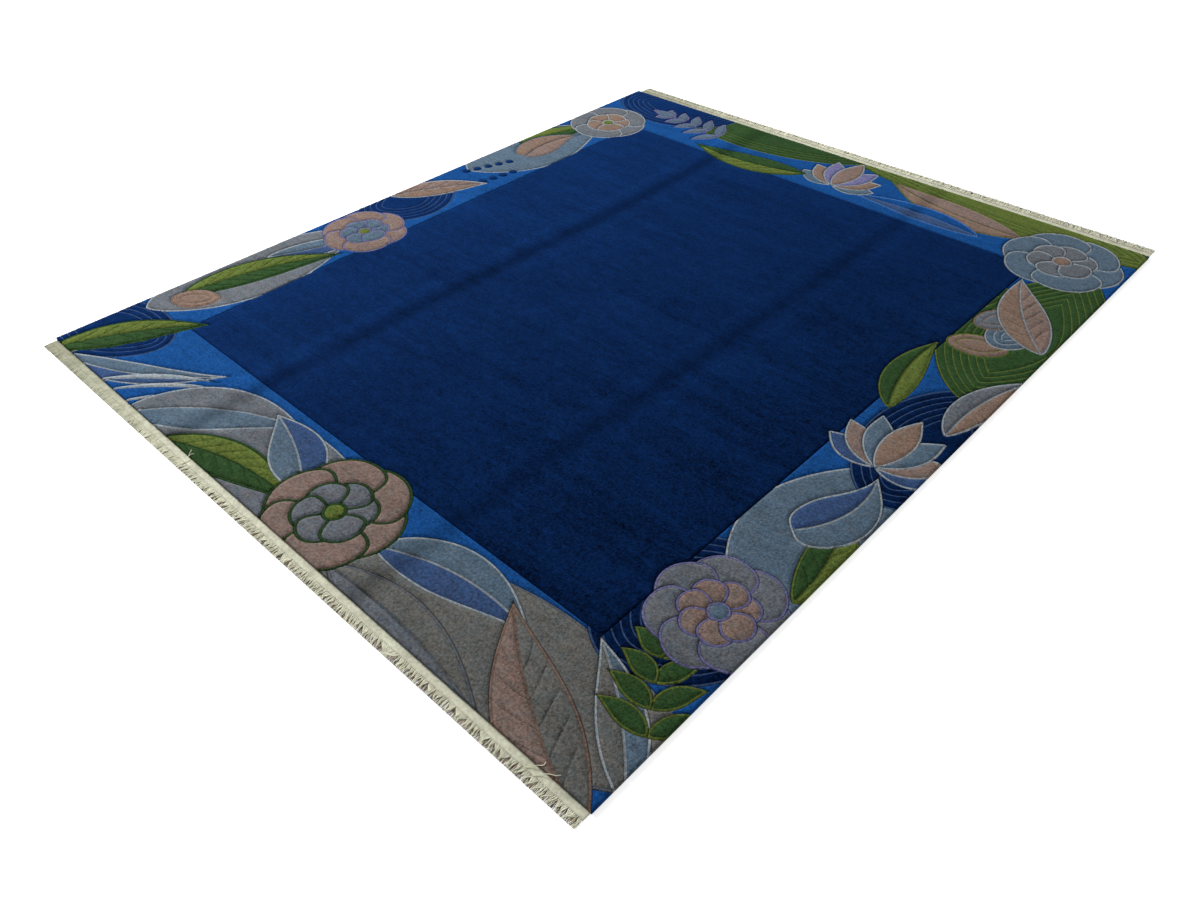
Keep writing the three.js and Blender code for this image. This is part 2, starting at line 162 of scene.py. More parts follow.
RIGHT_MOTIFS = [Motif(*row) for row in (
    ("fern", 1.240, -1.300, 118, 0.420, 0.250, 0.020, 5, "green", "olive"),
    ("leaf", 1.235, -0.760, 104, 0.400, 0.130, -0.030, 4, "green olive", "olive"),
    ("blossom", 1.120, -0.900, 20, 0.185, 0, 0, 7, "mauve rose slate", "lilac"),
    ("drop", 1.090, -0.560, 80, 0.340, 0.180, -0.050, 0, "steel slate", "pale"),
    ("lotus", 1.120, -0.200, 90, 0.270, 0.096, 0, 7, "peach slate rose steel", "pale"),
    ("leaf", 1.010, 0.060, 98, 0.420, 0.120, 0.030, 0, "green olive", "olive"),
    ("leaf", 1.200, 0.050, 80, 0.420, 0.120, 0.030, 0, "mauve peach", "pale"),
    ("stone", 0.960, 0.500, 20, 0.200, 0.130, 0, 1, "peach", "olive"),
    ("stone", 1.090, 0.560, 80, 0.190, 0.150, 0, 2, "slate", "pale"),
    ("stone", 0.990, 0.640, 60, 0.180, 0.120, 0, 1, "mauve", "peach"),
    ("leaf", 1.230, 0.620, 122, 0.480, 0.170, 0.030, 5, "peach rose", "pale"),
)]
FAR_MOTIFS = [Motif(*row) for row in (
    ("leaf", 0.850, 1.300, 170, 0.640, 0.170, 0.040, 0, "peach rose", "olive"),
    ("blossom", 1.030, 1.230, 0, 0.215, 0, 0, 6, "slate mauve peach", "pale"),
    ("leaf", 0.720, 1.200, 180, 0.560, 0.120, -0.030, 0, "steel royal", "sky"),
    ("lotus", 0.060, 1.210, 90, 0.260, 0.100, 0, 7, "rose lilac peach slate", "pale"),
    ("leaf", -0.080, 1.230, 186, 0.560, 0.150, 0.040, 6, "olive green", "green"),
    ("fern", -0.560, 1.290, 176, 0.460, 0.230, -0.020, 5, "slate", "lilac"),
)]
LEFT_MOTIFS = [Motif(*row) for row in (
    ("leaf", -1.230, 0.640, 72, 0.400, 0.130, 0.020, 0, "olive green", "green"),
    ("blossom", -1.090, 1.080, 0, 0.180, 0, 0, 5, "mauve peach olive", "pale"),
    ("drop", -1.110, 0.560, 86, 0.340, 0.180, 0.040, 0, "peach rose", "slate"),
    ("berries", -1.190, 0.290, 70, 0.200, 0.036, 0, 5, "navy", ""),
    ("berries", -1.060, 0.270, 80, 0.150, 0.036, 0, 4, "navy", ""),
    ("leaf", -1.250, -0.080, 58, 0.420, 0.140, 0.020, 4, "rose peach", "pale"),
    ("leaf", -1.190, -0.700, 70, 0.420, 0.120, -0.020, 0, "slate steel", "pale"),
    ("blossom", -1.080, -0.330, 30, 0.170, 0, 0, 6, "rose slate olive", "lilac"),
    ("leaf", -1.180, -1.060, 72, 0.600, 0.160, 0.040, 6, "olive green", "green"),
    ("stone", -1.190, -1.090, 40, 0.180, 0.120, 0, 1, "peach", "rose"),
)]

# How flowers and ferns are made up
PETAL_SHARE = 1.12
INNER_REACH = 0.58
INNER_SHARE = 1.05
HEART_REACH = 0.17
LOTUS_SPREAD = 150
LOTUS_FALL = 0.1
FERN_FIRST = 0.08
FERN_LAST = 0.74
FERN_END = 0.70
FERN_END_REACH = 0.34
FERN_BLADE = 0.24
FERN_STAND_OFF = 62
FERN_CLOSING = 24
FERN_REACH = 0.65
FERN_SHORTENING = 0.34

# Where along a leaf its midrib starts and ends, where its first veins leave the midrib and how
# far on the last ones do, how far along it a vein runs, and how far across its half
RIB_START = 0.03
RIB_END = 0.95
VEINS_START = 0.16
VEINS_SPREAD = 0.62
VEIN_RUN = 0.13
VEIN_REACH = 0.72

# The groove inside a fine outline, as a share of a groove's full depth, and the groove beside a
# midrib, as a share of a groove's width
SHALLOW_GROOVE = 0.6
RIB_GROOVE = 0.8

# Length of an outline's steps on the pile and on the back, spacing of the back's points, and
# length of the steps along the pile's rim and between its stretches
PILE_STEP = 0.009
BACK_STEP = 0.02
BACK_GRID = 0.05
RIM_STEP = 0.01
BORDER_STEP = 0.02
# How far inside the edge the lines that shape the rim's slope lie, as shares of its fall
RIM_LINES = (0.0, 0.7, 2.0)

# How near to a carved line the pile's loose points come, how far they stray from their grid, as
# a share of its spacing, and how much of its inset a moved line keeps where it is still drawn
LINE_CLEARANCE = 0.0045
SCATTER = 0.3
OFFSET_SLACK = 0.93

# The cottons: how much of the darkening towards the rug's left end they show, and how light they
# are
Cotton = namedtuple("Cotton", "wear tone")
COTTONS = {
    "cotton_web": Cotton(1.0, 0.80),
    "cotton_yarn": Cotton(0.7, 0.86),
    # The yarn under the fringe is dark: painted shade between the strands
    "cotton_under": Cotton(0.7, 0.61),
}

# Spacing of the web's warp and weft, and height and spacing of its ribs
WARP_SPACING = 0.0032
WEFT_SPACING = 0.0021
RIB_HEIGHT = 0.00018
RIB_SPACING = 0.0064

# How far the web reaches into the woven back, how far its outer edge is frayed, how far its top
# lies below its full thickness and falls off over its last quarter, and its grid
WEB_LAP = 0.0005
WEB_FRAY = 0.0016
WEB_SINK = 0.0004
WEB_FALL = 0.0012
WEB_COLUMNS = 832
WEB_ROWS = 8

# The cotton weft that shows between the knots of the back
WEFT_COLOUR = (0.42, 0.40, 0.32)

# The fringe gets looser from here across the rug, and over this distance
LOOSER_FROM = -0.85
LOOSER_OVER = 2.05

# How far the strands are lifted at their ends, and how far they start under the web's outer edge
LIFT = 0.0012
TUCK = 0.0012

# Spacing of the tufts along the rug's edges, and half a tuft's thickness from root to tip
RIM_SPACING = 0.0031
TUFT_RADII = (0.0011, 0.0013, 0.0006)

# How near to the rug's edge a point counts as on it, and how far the middle of the cut side
# stands out, sideways and at the ends
AT_EDGE = 1e-5
EDGE_BULGE_X = 0.0008
EDGE_BULGE_Y = 0.0003

# Size and height of the floor, place of the lamp, and the camera's sensor in millimetres
FLOOR_SIZE = 60.0
FLOOR_HEIGHT = -0.0004
LAMP_PLACE = (-5.5, -1.0, 4.2)
SENSOR_WIDTH = 36.0

# Thickness of a stray thread as a share of a warp end's, and steps between two of its points
STRAY_SHARE = 0.42
STRAY_STEPS = 4

# Where the random draws of each piece start
SEEDS = {"pile": 7, "back": 11, "tufts": 23, "webs": 31, "fringes": 47}

# Stray warp threads that lie over the near web and onto the pile: x, y and height of each point
STRAYS = [
    ((-0.334, -1.530, 0.0030), (-0.342, -1.505, 0.0040), (-0.350, -1.483, 0.0075),
     (-0.357, -1.470, 0.0140), (-0.366, -1.459, 0.0146)),
    ((-0.352, -1.523, 0.0030), (-0.346, -1.500, 0.0040), (-0.352, -1.482, 0.0080),
     (-0.350, -1.470, 0.0142), (-0.344, -1.463, 0.0146)),
    ((1.072, -1.501, 0.0030), (1.084, -1.488, 0.0048), (1.096, -1.477, 0.0100),
     (1.107, -1.470, 0.0144), (1.106, -1.462, 0.0148)),
    ((1.100, -1.505, 0.0030), (1.112, -1.487, 0.0048), (1.127, -1.476, 0.0110),
     (1.143, -1.469, 0.0145), (1.150, -1.461, 0.0148)),
    ((-1.132, -1.489, 0.0028), (-1.128, -1.477, 0.0080), (-1.121, -1.470, 0.0141),
     (-1.112, -1.462, 0.0147)),
]


# Kinds of property

def metres(name, description, default):
    return FloatProperty(name=name, description=description, default=default, unit="LENGTH")


def bearing(name, description, default):
    return FloatProperty(name=name, description=description, default=default, subtype="ANGLE")


def tint(name, description, default):
    return FloatVectorProperty(
        name=name, description=description, default=default, subtype="COLOR", size=3, min=0, max=1)


class RugSizes(bpy.types.PropertyGroup):
    pile_top: metres("Pile height", "Floor to the top of the pile", PILE_HIGH[2])
    back: metres("Back thickness", "Woven back under the pile", 0.0024)
    rim_slope: metres("Rim slope", "How far the pile's top falls off at its edges", 0.003)
    border_side: metres("Side borders", "Width of the left and right borders", 0.286)
    border_near: metres("Near border", "Width of the near border", 0.334)
    border_far: metres("Far border", "Width of the far border", 0.350)
    grid: metres("Tuft spacing", "Spacing of the points between the carved lines", 0.0100)
    unevenness: metres("Unevenness", "How far the clipped pile rises and falls", 0.0004)
    knot_width: metres("Knot width", "Spacing of the knots across the back", 0.0032)
    knot_height: metres("Knot height", "Spacing of the rows of knots on the back", 0.0036)


class CarvingSizes(bpy.types.PropertyGroup):
    band: metres("Broad outline", "Width of the dark outline inside a motif's edge", 0.0088)
    fine_band: metres("Fine outline", "Width of the lighter outlines", 0.0068)
    groove: metres("Groove", "Half the width of a clipped groove", 0.0028)
    depth: metres("Groove depth", "Depth of the grooves beside an outline", 0.0048)
    rib: metres("Midrib", "Width of a leaf's midrib", 0.0064)
    line: metres("Fine line", "Half the width of a vein or contour", 0.0038)
    line_depth: metres("Fine line depth", "Depth of a vein or contour", 0.0030)
    contour_gap: metres("Contour spacing", "Distance between the contours inside a stone", 0.024)


class FringeSizes(bpy.types.PropertyGroup):
    web_thickness: metres("Web thickness", "Thickness of the flat-woven ends", NEAR_HIGH[2])
    near_web: metres("Near web", "Length along the rug of the flat-woven near end", 0.022)
    far_web: metres("Far web", "Length along the rug of the flat-woven far end", 0.042)
    near_fringe: metres(
        "Near fringe", "Length of the loose warp ends at the near end",
        NEAR_HIGH[1] - NEAR_LOW[1] - 0.0217)
    far_fringe: metres(
        "Far fringe", "Length of the loose warp ends at the far end",
        FAR_HIGH[1] - FAR_LOW[1] - 0.0417)
    yarn: metres("Yarn", "Thickness of one warp end", 0.0020)
    pitch: metres("Yarn spacing", "Distance between neighbouring warp ends", 0.00215)
    looseness: FloatProperty(
        name="Looseness", description="Share of the warp ends that start a bundle of their own",
        default=0.25, min=0.05, max=1.0)
    # The warp ends under the others are dark, as painted shade between the strands
    under: metres("Yarn underneath", "Thickness of the warp ends under the others", 0.0020)
    under_pitch: metres(
        "Spacing underneath", "Distance between the warp ends under the others", 0.0017)
    wisp: metres("Wisp", "Thickness of a loose fibre", 0.0007)
    wisps: IntProperty(
        name="Wisps", description="Number of loose fibres at each end", default=520)


class YarnColours(bpy.types.PropertyGroup):
    __annotations__ = {
        name: tint(name.capitalize(), f"Dyed colour of the {name} yarn", colour)
        for name, colour in YARNS.items()
    }


class CottonLook(bpy.types.PropertyGroup):
    colour: tint("Cotton", "Colour of the undyed cotton", (0.88, 0.88, 0.69))
    shade: tint("Cotton shade", "Colour of the cotton's duller stretches", (0.37, 0.37, 0.26))
    # The dark yarn under the fringe is painted shade between the strands: its colour, and that of
    # its darker patches
    shade_underneath: tint(
        "Cotton underneath", "Colour of the soiled yarn under the fringe", (0.26, 0.165, 0.060))
    deep_shade: tint("Shade underneath", "Colour of its darker stretches", (0.028, 0.020, 0.011))
    # How far across the rug, and how fast per metre, the cotton is made darker towards its left
    # end
    darkened_to: metres("Worn to", "How far across the rug its left end's wear goes", -0.35)
    wear: FloatProperty(
        name="Wear", description="How fast the cotton gets duller towards the left, per metre",
        default=1.1)


class StageLook(bpy.types.PropertyGroup):
    camera_x: metres("Camera across", "Camera's place across the rug", 1.9555)
    camera_y: metres("Camera along", "Camera's place along the rug", -2.1652)
    camera_z: metres("Camera height", "Camera's height above the floor", 1.8086)
    heading: bearing("Heading", "Camera's turn about the upright", math.radians(44.277))
    tilt: bearing("Tilt", "How far the camera looks down", math.radians(40.87))
    roll: bearing("Roll", "Camera's turn about its own line of sight", math.radians(-1.328))
    lens: FloatProperty(
        name="Lens", description="Focal length in millimetres on a 36 mm sensor", default=28.8)
    lamp_power: FloatProperty(
        name="Lamp", description="Power of the large soft lamp on the rug's left, in watts",
        default=1950)
    lamp_radius: metres("Lamp size", "Radius of the soft lamp", 1.5)
    sky_power: FloatProperty(
        name="Sky light", description="Strength of the even light all round", default=0.4)
    floor_colour: tint("Floor", "Colour of the plain floor", (0.90, 0.90, 0.89))


GROUPS = {
    "rug_sizes": RugSizes,
    "rug_carving": CarvingSizes,
    "rug_fringe": FringeSizes,
    "rug_yarns": YarnColours,
    "rug_cotton": CottonLook,
    "rug_stage": StageLook,
}


# Forms of the motifs

def beside_midline(motif, t, offset=0.0):
    """Points of a motif's bowed midline at t from 0 to 1, moved aside by an offset."""
    slope = np.arctan2(4 * motif.bow * (1 - 2 * t), motif.length)
    along = motif.length * t - offset * np.sin(slope)
    across = 4 * motif.bow * t * (1 - t) + offset * np.cos(slope)
    angle = math.radians(motif.turn)
    return np.stack([
        motif.x + along * math.cos(angle) - across * math.sin(angle),
        motif.y + along * math.sin(angle) + across * math.cos(angle),
    ], axis=-1)


def eased(count):
    """Steps from 0 to 1 that lie closer at both ends, where an outline turns fastest."""
    return 0.5 - 0.5 * np.cos(np.pi * np.arange(count + 1) / count)


def half_widths(motif, t):
    form = FORMS[motif.kind]
    swell = np.maximum(np.sin(np.pi * t ** form.full), 0)
    return motif.width / 2 * swell ** (form.base * (1 - t) + form.tip * t)


def stations(motif, step):
    """Places along a motif's midline, from 0 to 1, at which its outline has points."""
    return eased(max(7, math.ceil(motif.length / step)))


def outline_of(motif, step):
    t = stations(motif, step)
    half = half_widths(motif, t)
    right = beside_midline(motif, t, -half)
    left = beside_midline(motif, t, half)
    return np.concatenate([right, left[-2:0:-1]])


def disc(motif, size, yarns):
    return motif._replace(
        kind="stone", x=motif.x - size / 2, turn=0, length=size, width=size, bow=0,
        count=0, yarns=yarns)


def blossom_parts(motif):
    """An open flower: an outer and an inner ring of petals around a round heart."""
    outer, inner, heart = motif.yarns.split()
    parts = []
    rings = ((1, PETAL_SHARE, 0, outer), (INNER_REACH, INNER_SHARE, 0.5, inner))
    for reach, share, shift, yarn in rings:
        length = motif.length * reach
        width = 2 * share * length * math.sin(math.pi / motif.count)
        for i in range(motif.count):
            turn = motif.turn + 360 * (i + shift) / motif.count
            parts.append(motif._replace(
                kind="petal", turn=turn, length=length, width=width, count=0, yarns=yarn))
    parts.append(disc(motif, 2 * HEART_REACH * motif.length, heart))
    return parts


def lotus_parts(motif):
    """A lotus seen from the side: a fan of pointed petals, the middle one in front."""
    yarns = motif.yarns.split()
    middle = (motif.count - 1) / 2
    parts = []
    for i in sorted(range(motif.count), key=lambda i: -abs(i - middle)):
        aside = i - middle
        parts.append(motif._replace(
            kind="point",
            turn=motif.turn + aside * LOTUS_SPREAD / (motif.count - 1),
            length=motif.length * (1 - LOTUS_FALL * abs(aside)),
            count=0,
            yarns=yarns[int(abs(aside)) % len(yarns)]))
    return parts


def fern_parts(motif):
    """A fern: pairs of small blades along a stem, and one at its end."""
    parts = []
    for i in reversed(range(motif.count)):
        t = FERN_FIRST + (FERN_LAST - FERN_FIRST) * i / (motif.count - 1)
        x, y = beside_midline(motif, t)
        for side in (-1, 1):
            parts.append(motif._replace(
                kind="leaf", x=x, y=y,
                turn=motif.turn + side * (FERN_STAND_OFF - FERN_CLOSING * t),
                length=motif.width * (FERN_REACH - FERN_SHORTENING * t),
                width=motif.width * FERN_BLADE, bow=-0.01 * side, count=0))
    x, y = beside_midline(motif, FERN_END)
    parts.append(motif._replace(
        kind="leaf", x=x, y=y, length=motif.length * FERN_END_REACH,
        width=motif.width * FERN_BLADE, bow=0, count=0))
    return parts


def berry_parts(motif):
    """A row of round berries."""
    angle = math.radians(motif.turn)
    parts = []
    for i in range(motif.count):
        along = motif.length * i / (motif.count - 1)
        place = motif._replace(
            x=motif.x + along * math.cos(angle), y=motif.y + along * math.sin(angle))
        parts.append(disc(place, motif.width, motif.yarns))
    return parts


COMPOUND = {
    "blossom": blossom_parts,
    "lotus": lotus_parts,
    "fern": fern_parts,
    "berries": berry_parts,
}


def parts_of(motifs):
    for motif in motifs:
        yield from COMPOUND[motif.kind](motif) if motif.kind in COMPOUND else [motif]


# Plane geometry on arrays of points

def path_distance(points, path, closed):
    """Distance of each point to the nearest stretch of a path."""
    start = path if closed else path[:-1]
    end = np.roll(path, -1, axis=0) if closed else path[1:]
    run = end - start
    square = np.maximum((run ** 2).sum(1), 1e-12)
    best = np.full(len(points), np.inf)
    for a, r, s in zip(start, run, square):
        aside = points - a
        t = np.clip(aside @ r / s, 0, 1)
        gap = aside - t[:, None] * r
        np.minimum(best, (gap ** 2).sum(1), out=best)
    return np.sqrt(best)


def inside(points, outline):
    """Which points lie inside an outline, by counting crossings."""
    result = np.zeros(len(points), bool)
    x, y = points[:, 0], points[:, 1]
    for (ax, ay), (bx, by) in zip(outline, np.roll(outline, -1, axis=0)):
        if ay == by:
            continue
        level = (ay > y) != (by > y)
        result ^= level & (x < (bx - ax) * (y - ay) / (by - ay) + ax)
    return result


def offset_path(path, inset, closed=True):
    """A path moved inwards, and which of its points no other stretch comes too near to."""
    if closed:
        run = np.roll(path, -1, axis=0) - np.roll(path, 1, axis=0)
    else:
        run = np.gradient(path, axis=0)
    run /= np.maximum(np.hypot(run[:, 0], run[:, 1]), 1e-9)[:, None]
    moved = path + inset * np.stack([-run[:, 1], run[:, 0]], axis=1)
    keep = path_distance(moved, path, closed) > OFFSET_SLACK * abs(inset)
    return moved, keep


def hat(distance, reach):
    """1 on a line, falling evenly to 0 at the reach."""
    return np.clip(1 - np.abs(distance) / reach, 0, 1)


class Area:
    """One outlined area of the design, with what is clipped into it."""

    def __init__(self, outline, yarn, edge=""):
        self.outline = outline
        self.yarn = YARN_NAMES.index(yarn)
        self.edge = YARN_NAMES.index(edge) if edge else None
        self.shade = None
        self.rib = None
        self.veins = []
        self.contours = 0
        self.low = outline.min(0)
        self.high = outline.max(0)

    def about(self, points, margin):
        """Indices of the points in the area's box, widened by a margin."""
        near = (points > self.low - margin) & (points < self.high + margin)
        return np.flatnonzero(near.all(1))


def area_of(motif, step):
    yarns = motif.yarns.split()
    area = Area(outline_of(motif, step), yarns[0], motif.edge)
    if len(yarns) > 1:
        t = stations(motif, step)
        right = beside_midline(motif, t, -half_widths(motif, t))
        middle = beside_midline(motif, t)
        area.shade = (np.concatenate([right, middle[-2:0:-1]]), YARN_NAMES.index(yarns[1]))
        steps = np.linspace(RIB_START, RIB_END, max(6, math.ceil(motif.length / step)))
        area.rib = beside_midline(motif, steps)
        for i in range(motif.count):
            start = VEINS_START + VEINS_SPREAD * i / motif.count
            for side in (-1, 1):
                t = start + np.linspace(0.0, VEIN_RUN, 5)
                reach = np.linspace(0.0, VEIN_REACH, 5)
                area.veins.append(beside_midline(motif, t, side * reach * half_widths(motif, t)))
    else:
        area.contours = motif.count
    return area


def field_limits(sizes):
    """How far out the plain field goes: to both sides, to the near end and to the far end."""
    return (
        HALF_WIDTH - sizes.border_side, -HALF_LENGTH + sizes.border_near,
        HALF_LENGTH - sizes.border_far)


def design(sizes, step):
    """All areas in the order in which they lie over each other."""
    side, near, far = field_limits(sizes)
    corners = [(-side, near), (side, near), (side, far), (-side, far)]
    field = []
    for (ax, ay), (bx, by) in zip(corners, corners[1:] + corners[:1]):
        count = math.ceil(math.hypot(bx - ax, by - ay) / (2 * step))
        for i in range(count):
            field.append((ax + (bx - ax) * i / count, ay + (by - ay) * i / count))
    areas = [area_of(motif, step) for motif in parts_of(GROUNDS)]
    areas.append(Area(np.array(field), FIELD_YARN))
    motifs = NEAR_MOTIFS + RIGHT_MOTIFS + FAR_MOTIFS + LEFT_MOTIFS
    areas += [area_of(motif, step) for motif in parts_of(motifs)]
    return areas


def outline_sizes(area, carving):
    """The width of an area's outline and the depth of the groove inside it."""
    if area.edge == YARN_NAMES.index(BROAD_OUTLINE):
        return carving.band, carving.depth
    return carving.fine_band, SHALLOW_GROOVE * carving.depth


def survey(points, areas, carving):
    """The groove depth and the yarn of the design at each point."""
    cut = np.zeros(len(points))
    yarn = np.full(len(points), YARN_NAMES.index(GROUND_YARN))
    for area in areas:
        here = area.about(points, carving.groove)
        if not len(here):
            continue
        near = points[here]
        gap = path_distance(near, area.outline, True)
        within = inside(near, area.outline)
        beside = here[~within & (gap < carving.groove)]
        outer = hat(gap[~within & (gap < carving.groove)], carving.groove) * carving.depth
        cut[beside] = np.maximum(cut[beside], outer)

        here, near, gap = here[within], near[within], gap[within]
        if not len(here):
            continue
        band, inner_depth = outline_sizes(area, carving)
        depth = hat(gap, carving.groove) * carving.depth
        dye = np.full(len(here), area.yarn)
        if area.shade:
            outline, second = area.shade
            dye[inside(near, outline)] = second
        for vein in area.veins:
            away = path_distance(near, vein, False)
            depth = np.maximum(depth, hat(away, carving.line) * carving.line_depth)
        for i in range(area.contours):
            away = np.abs(gap - band - (i + 1) * carving.contour_gap)
            depth = np.maximum(depth, hat(away, carving.line) * carving.line_depth)
            dye[away < carving.line / 2] = area.edge
        if area.rib is not None:
            away = path_distance(near, area.rib, False)
            side = hat(away - carving.rib / 2, carving.groove * RIB_GROOVE) * carving.line_depth
            depth = np.where(gap > band, np.maximum(depth, side), depth)
            dye[away < carving.rib / 2] = area.edge
        if area.edge is not None:
            depth = np.maximum(depth, hat(gap - band, carving.groove) * inner_depth)
            dye[gap < band] = area.edge
        cut[here] = depth
        yarn[here] = dye
    return cut, yarn


def design_lines(areas, carving, plain):
    """Every line that the mesh follows, as pairs of end points."""
    pairs = []

    def follow(path, keep, closed, order):
        shown = keep.copy()
        for later in areas[order + 1:]:
            here = later.about(path, 0)
            if len(here):
                shown[here[inside(path[here], later.outline)]] = False
        after = np.roll(np.arange(len(path)), -1)
        for i in range(len(path) if closed else len(path) - 1):
            j = after[i]
            if keep[i] and keep[j] and (shown[i] or shown[j]):
                pairs.append((path[i], path[j]))

    for order, area in enumerate(areas):
        band, _ = outline_sizes(area, carving)
        every = np.ones(len(area.outline), bool)
        follow(area.outline, every, True, order)
        insets = []
        if area.edge is not None:
            insets.append(band)
        if not plain:
            insets += [-carving.groove, carving.groove]
            if area.edge is not None:
                insets = [-carving.groove, band / 2, band, band + carving.groove]
            for i in range(area.contours):
                at = band + (i + 1) * carving.contour_gap
                half = carving.line / 2
                insets += [at - 2 * half, at - half, at + half, at + 2 * half]
        for inset in insets:
            follow(*offset_path(area.outline, inset), True, order)
        if area.rib is not None:
            half = carving.rib / 2
            sides = [-half, half]
            if not plain:
                sides = [-half - carving.groove, -half, half, half + carving.groove]
            for aside in sides:
                follow(*offset_path(area.rib, aside, False), False, order)
        if not plain:
            for vein in area.veins:
                for aside in (-carving.line, 0, carving.line):
                    path, keep = offset_path(vein, aside, False)
                    follow(path, keep | (aside == 0), False, order)
    return pairs


def clip_pair(a, b, low, high):
    """The stretch of a line inside a rectangle, or None."""
    t0, t1 = 0.0, 1.0
    run = b - a
    for axis in (0, 1):
        for sign, limit in ((-1, low[axis]), (1, high[axis])):
            room = sign * (limit - a[axis])
            speed = sign * run[axis]
            if abs(speed) < 1e-12:
                if room < 0:
                    return None
                continue
            t = room / speed
            if speed < 0:
                t0 = max(t0, t)
            else:
                t1 = min(t1, t)
    if t0 >= t1:
        return None
    return a + t0 * run, a + t1 * run


def rectangle_pairs(half_x, half_y, step):
    corners = [(-half_x, -half_y), (half_x, -half_y), (half_x, half_y), (-half_x, half_y)]
    pairs = []
    for a, b in zip(corners, corners[1:] + corners[:1]):
        pairs += line_pairs(np.array(a), np.array(b), step)
    return pairs


def line_pairs(a, b, step):
    count = max(1, math.ceil(np.hypot(*(b - a)) / step))
    points = [a + (b - a) * i / count for i in range(count + 1)]
    return list(zip(points, points[1:]))


def scattered_grid(spacing, seed):
    """Grid points over the rug, each moved a little, so that no rows show."""
    rng = np.random.default_rng(seed)
    xs = np.arange(-HALF_WIDTH + spacing, HALF_WIDTH - spacing / 2, spacing)
    ys = np.arange(-HALF_LENGTH + spacing, HALF_LENGTH - spacing / 2, spacing)
    points = np.stack(np.meshgrid(xs, ys), axis=-1).reshape(-1, 2)
    return points + rng.uniform(-SCATTER, SCATTER, points.shape) * spacing


def far_from(points, taken, room):
    """The points that lie in no cell next to a taken one."""
    def cells(places, dx=0, dy=0):
        places = np.floor(places / room).astype(np.int64) + (dx, dy)
        return places[:, 0] * 1000003 + places[:, 1]

    used = np.unique(np.concatenate([
        cells(taken, dx, dy) for dx in (-1, 0, 1) for dy in (-1, 0, 1)]))
    return points[~np.isin(cells(points), used)]


def triangulate(pairs, loose):
    """A constrained triangulation: points and triangles as arrays."""
    low = np.array([-HALF_WIDTH, -HALF_LENGTH])
    ends = [clip_pair(a, b, low, -low) for a, b in pairs]
    ends = np.array([pair for pair in ends if pair is not None]).reshape(-1, 2)
    fixed, names = np.unique(np.round(ends, 5), axis=0, return_inverse=True)
    edges = np.unique(np.sort(names.reshape(-1, 2), axis=1), axis=0)
    edges = edges[edges[:, 0] != edges[:, 1]]
    loose = far_from(loose, fixed, LINE_CLEARANCE)
    points = [Vector(p) for p in np.concatenate([fixed, loose])]
    found = delaunay_2d_cdt(points, edges.tolist(), [], 0, 1e-6, False)
    places = np.array([tuple(p) for p in found[0]])
    return places, np.array([f[:3] for f in found[2]])


def pile_height(points, sizes):
    """The height of the clipped pile before it is carved: rim, old folds and unevenness."""
    x, y = points[:, 0], points[:, 1]
    margin = np.minimum(HALF_WIDTH - np.abs(x), HALF_LENGTH - np.abs(y))
    fall = np.clip(1 - margin / (2 * sizes.rim_slope), 0, 1)
    height = sizes.pile_top - sizes.rim_slope * fall ** 2
    for crease in CREASES:
        wave = np.sin(CREASE_WAVES * y + crease.phase)
        away = (x - crease.x - crease.drift * wave) / crease.half
        trough = np.exp(-2.2 * away ** 2)
        height -= crease.depth * (0.8 + 0.2 * wave) * trough
    roll = np.sin(31 * x + 7 * np.sin(5 * y)) * np.sin(23 * y + 5 * np.sin(4 * x))
    ripple = np.sin(83 * x + 11 * np.sin(17 * y)) * np.sin(71 * y + 9 * np.sin(13 * x))
    return height + sizes.unevenness * (0.6 * roll + 0.4 * ripple - 1.0)


# Materials

class Wire:
    """A value in a material's node tree. Arithmetic on it adds Math nodes."""

    def __init__(self, paint, socket):
        self.paint = paint
        self.socket = socket

    def __add__(self, other):
        return self.paint.math("ADD", self, other)

    def __radd__(self, other):
        return self.paint.math("ADD", other, self)

    def __sub__(self, other):
        return self.paint.math("SUBTRACT", self, other)

    def __rsub__(self, other):
        return self.paint.math("SUBTRACT", other, self)

    def __mul__(self, other):
        return self.paint.math("MULTIPLY", self, other)

    def __rmul__(self, other):
        return self.paint.math("MULTIPLY", other, self)

    def __truediv__(self, other):
        return self.paint.math("DIVIDE", self, other)

    def __pow__(self, other):
        return self.paint.math("POWER", self, other)

    def __abs__(self):
        return self.paint.math("ABSOLUTE", self)

    def over(self, limit):
        return self.paint.math("GREATER_THAN", self, limit)

    def sine(self):
        return self.paint.math("SINE", self)

    def clamped(self):
        return self.paint.node("ShaderNodeClamp", {}, {"Value": self})


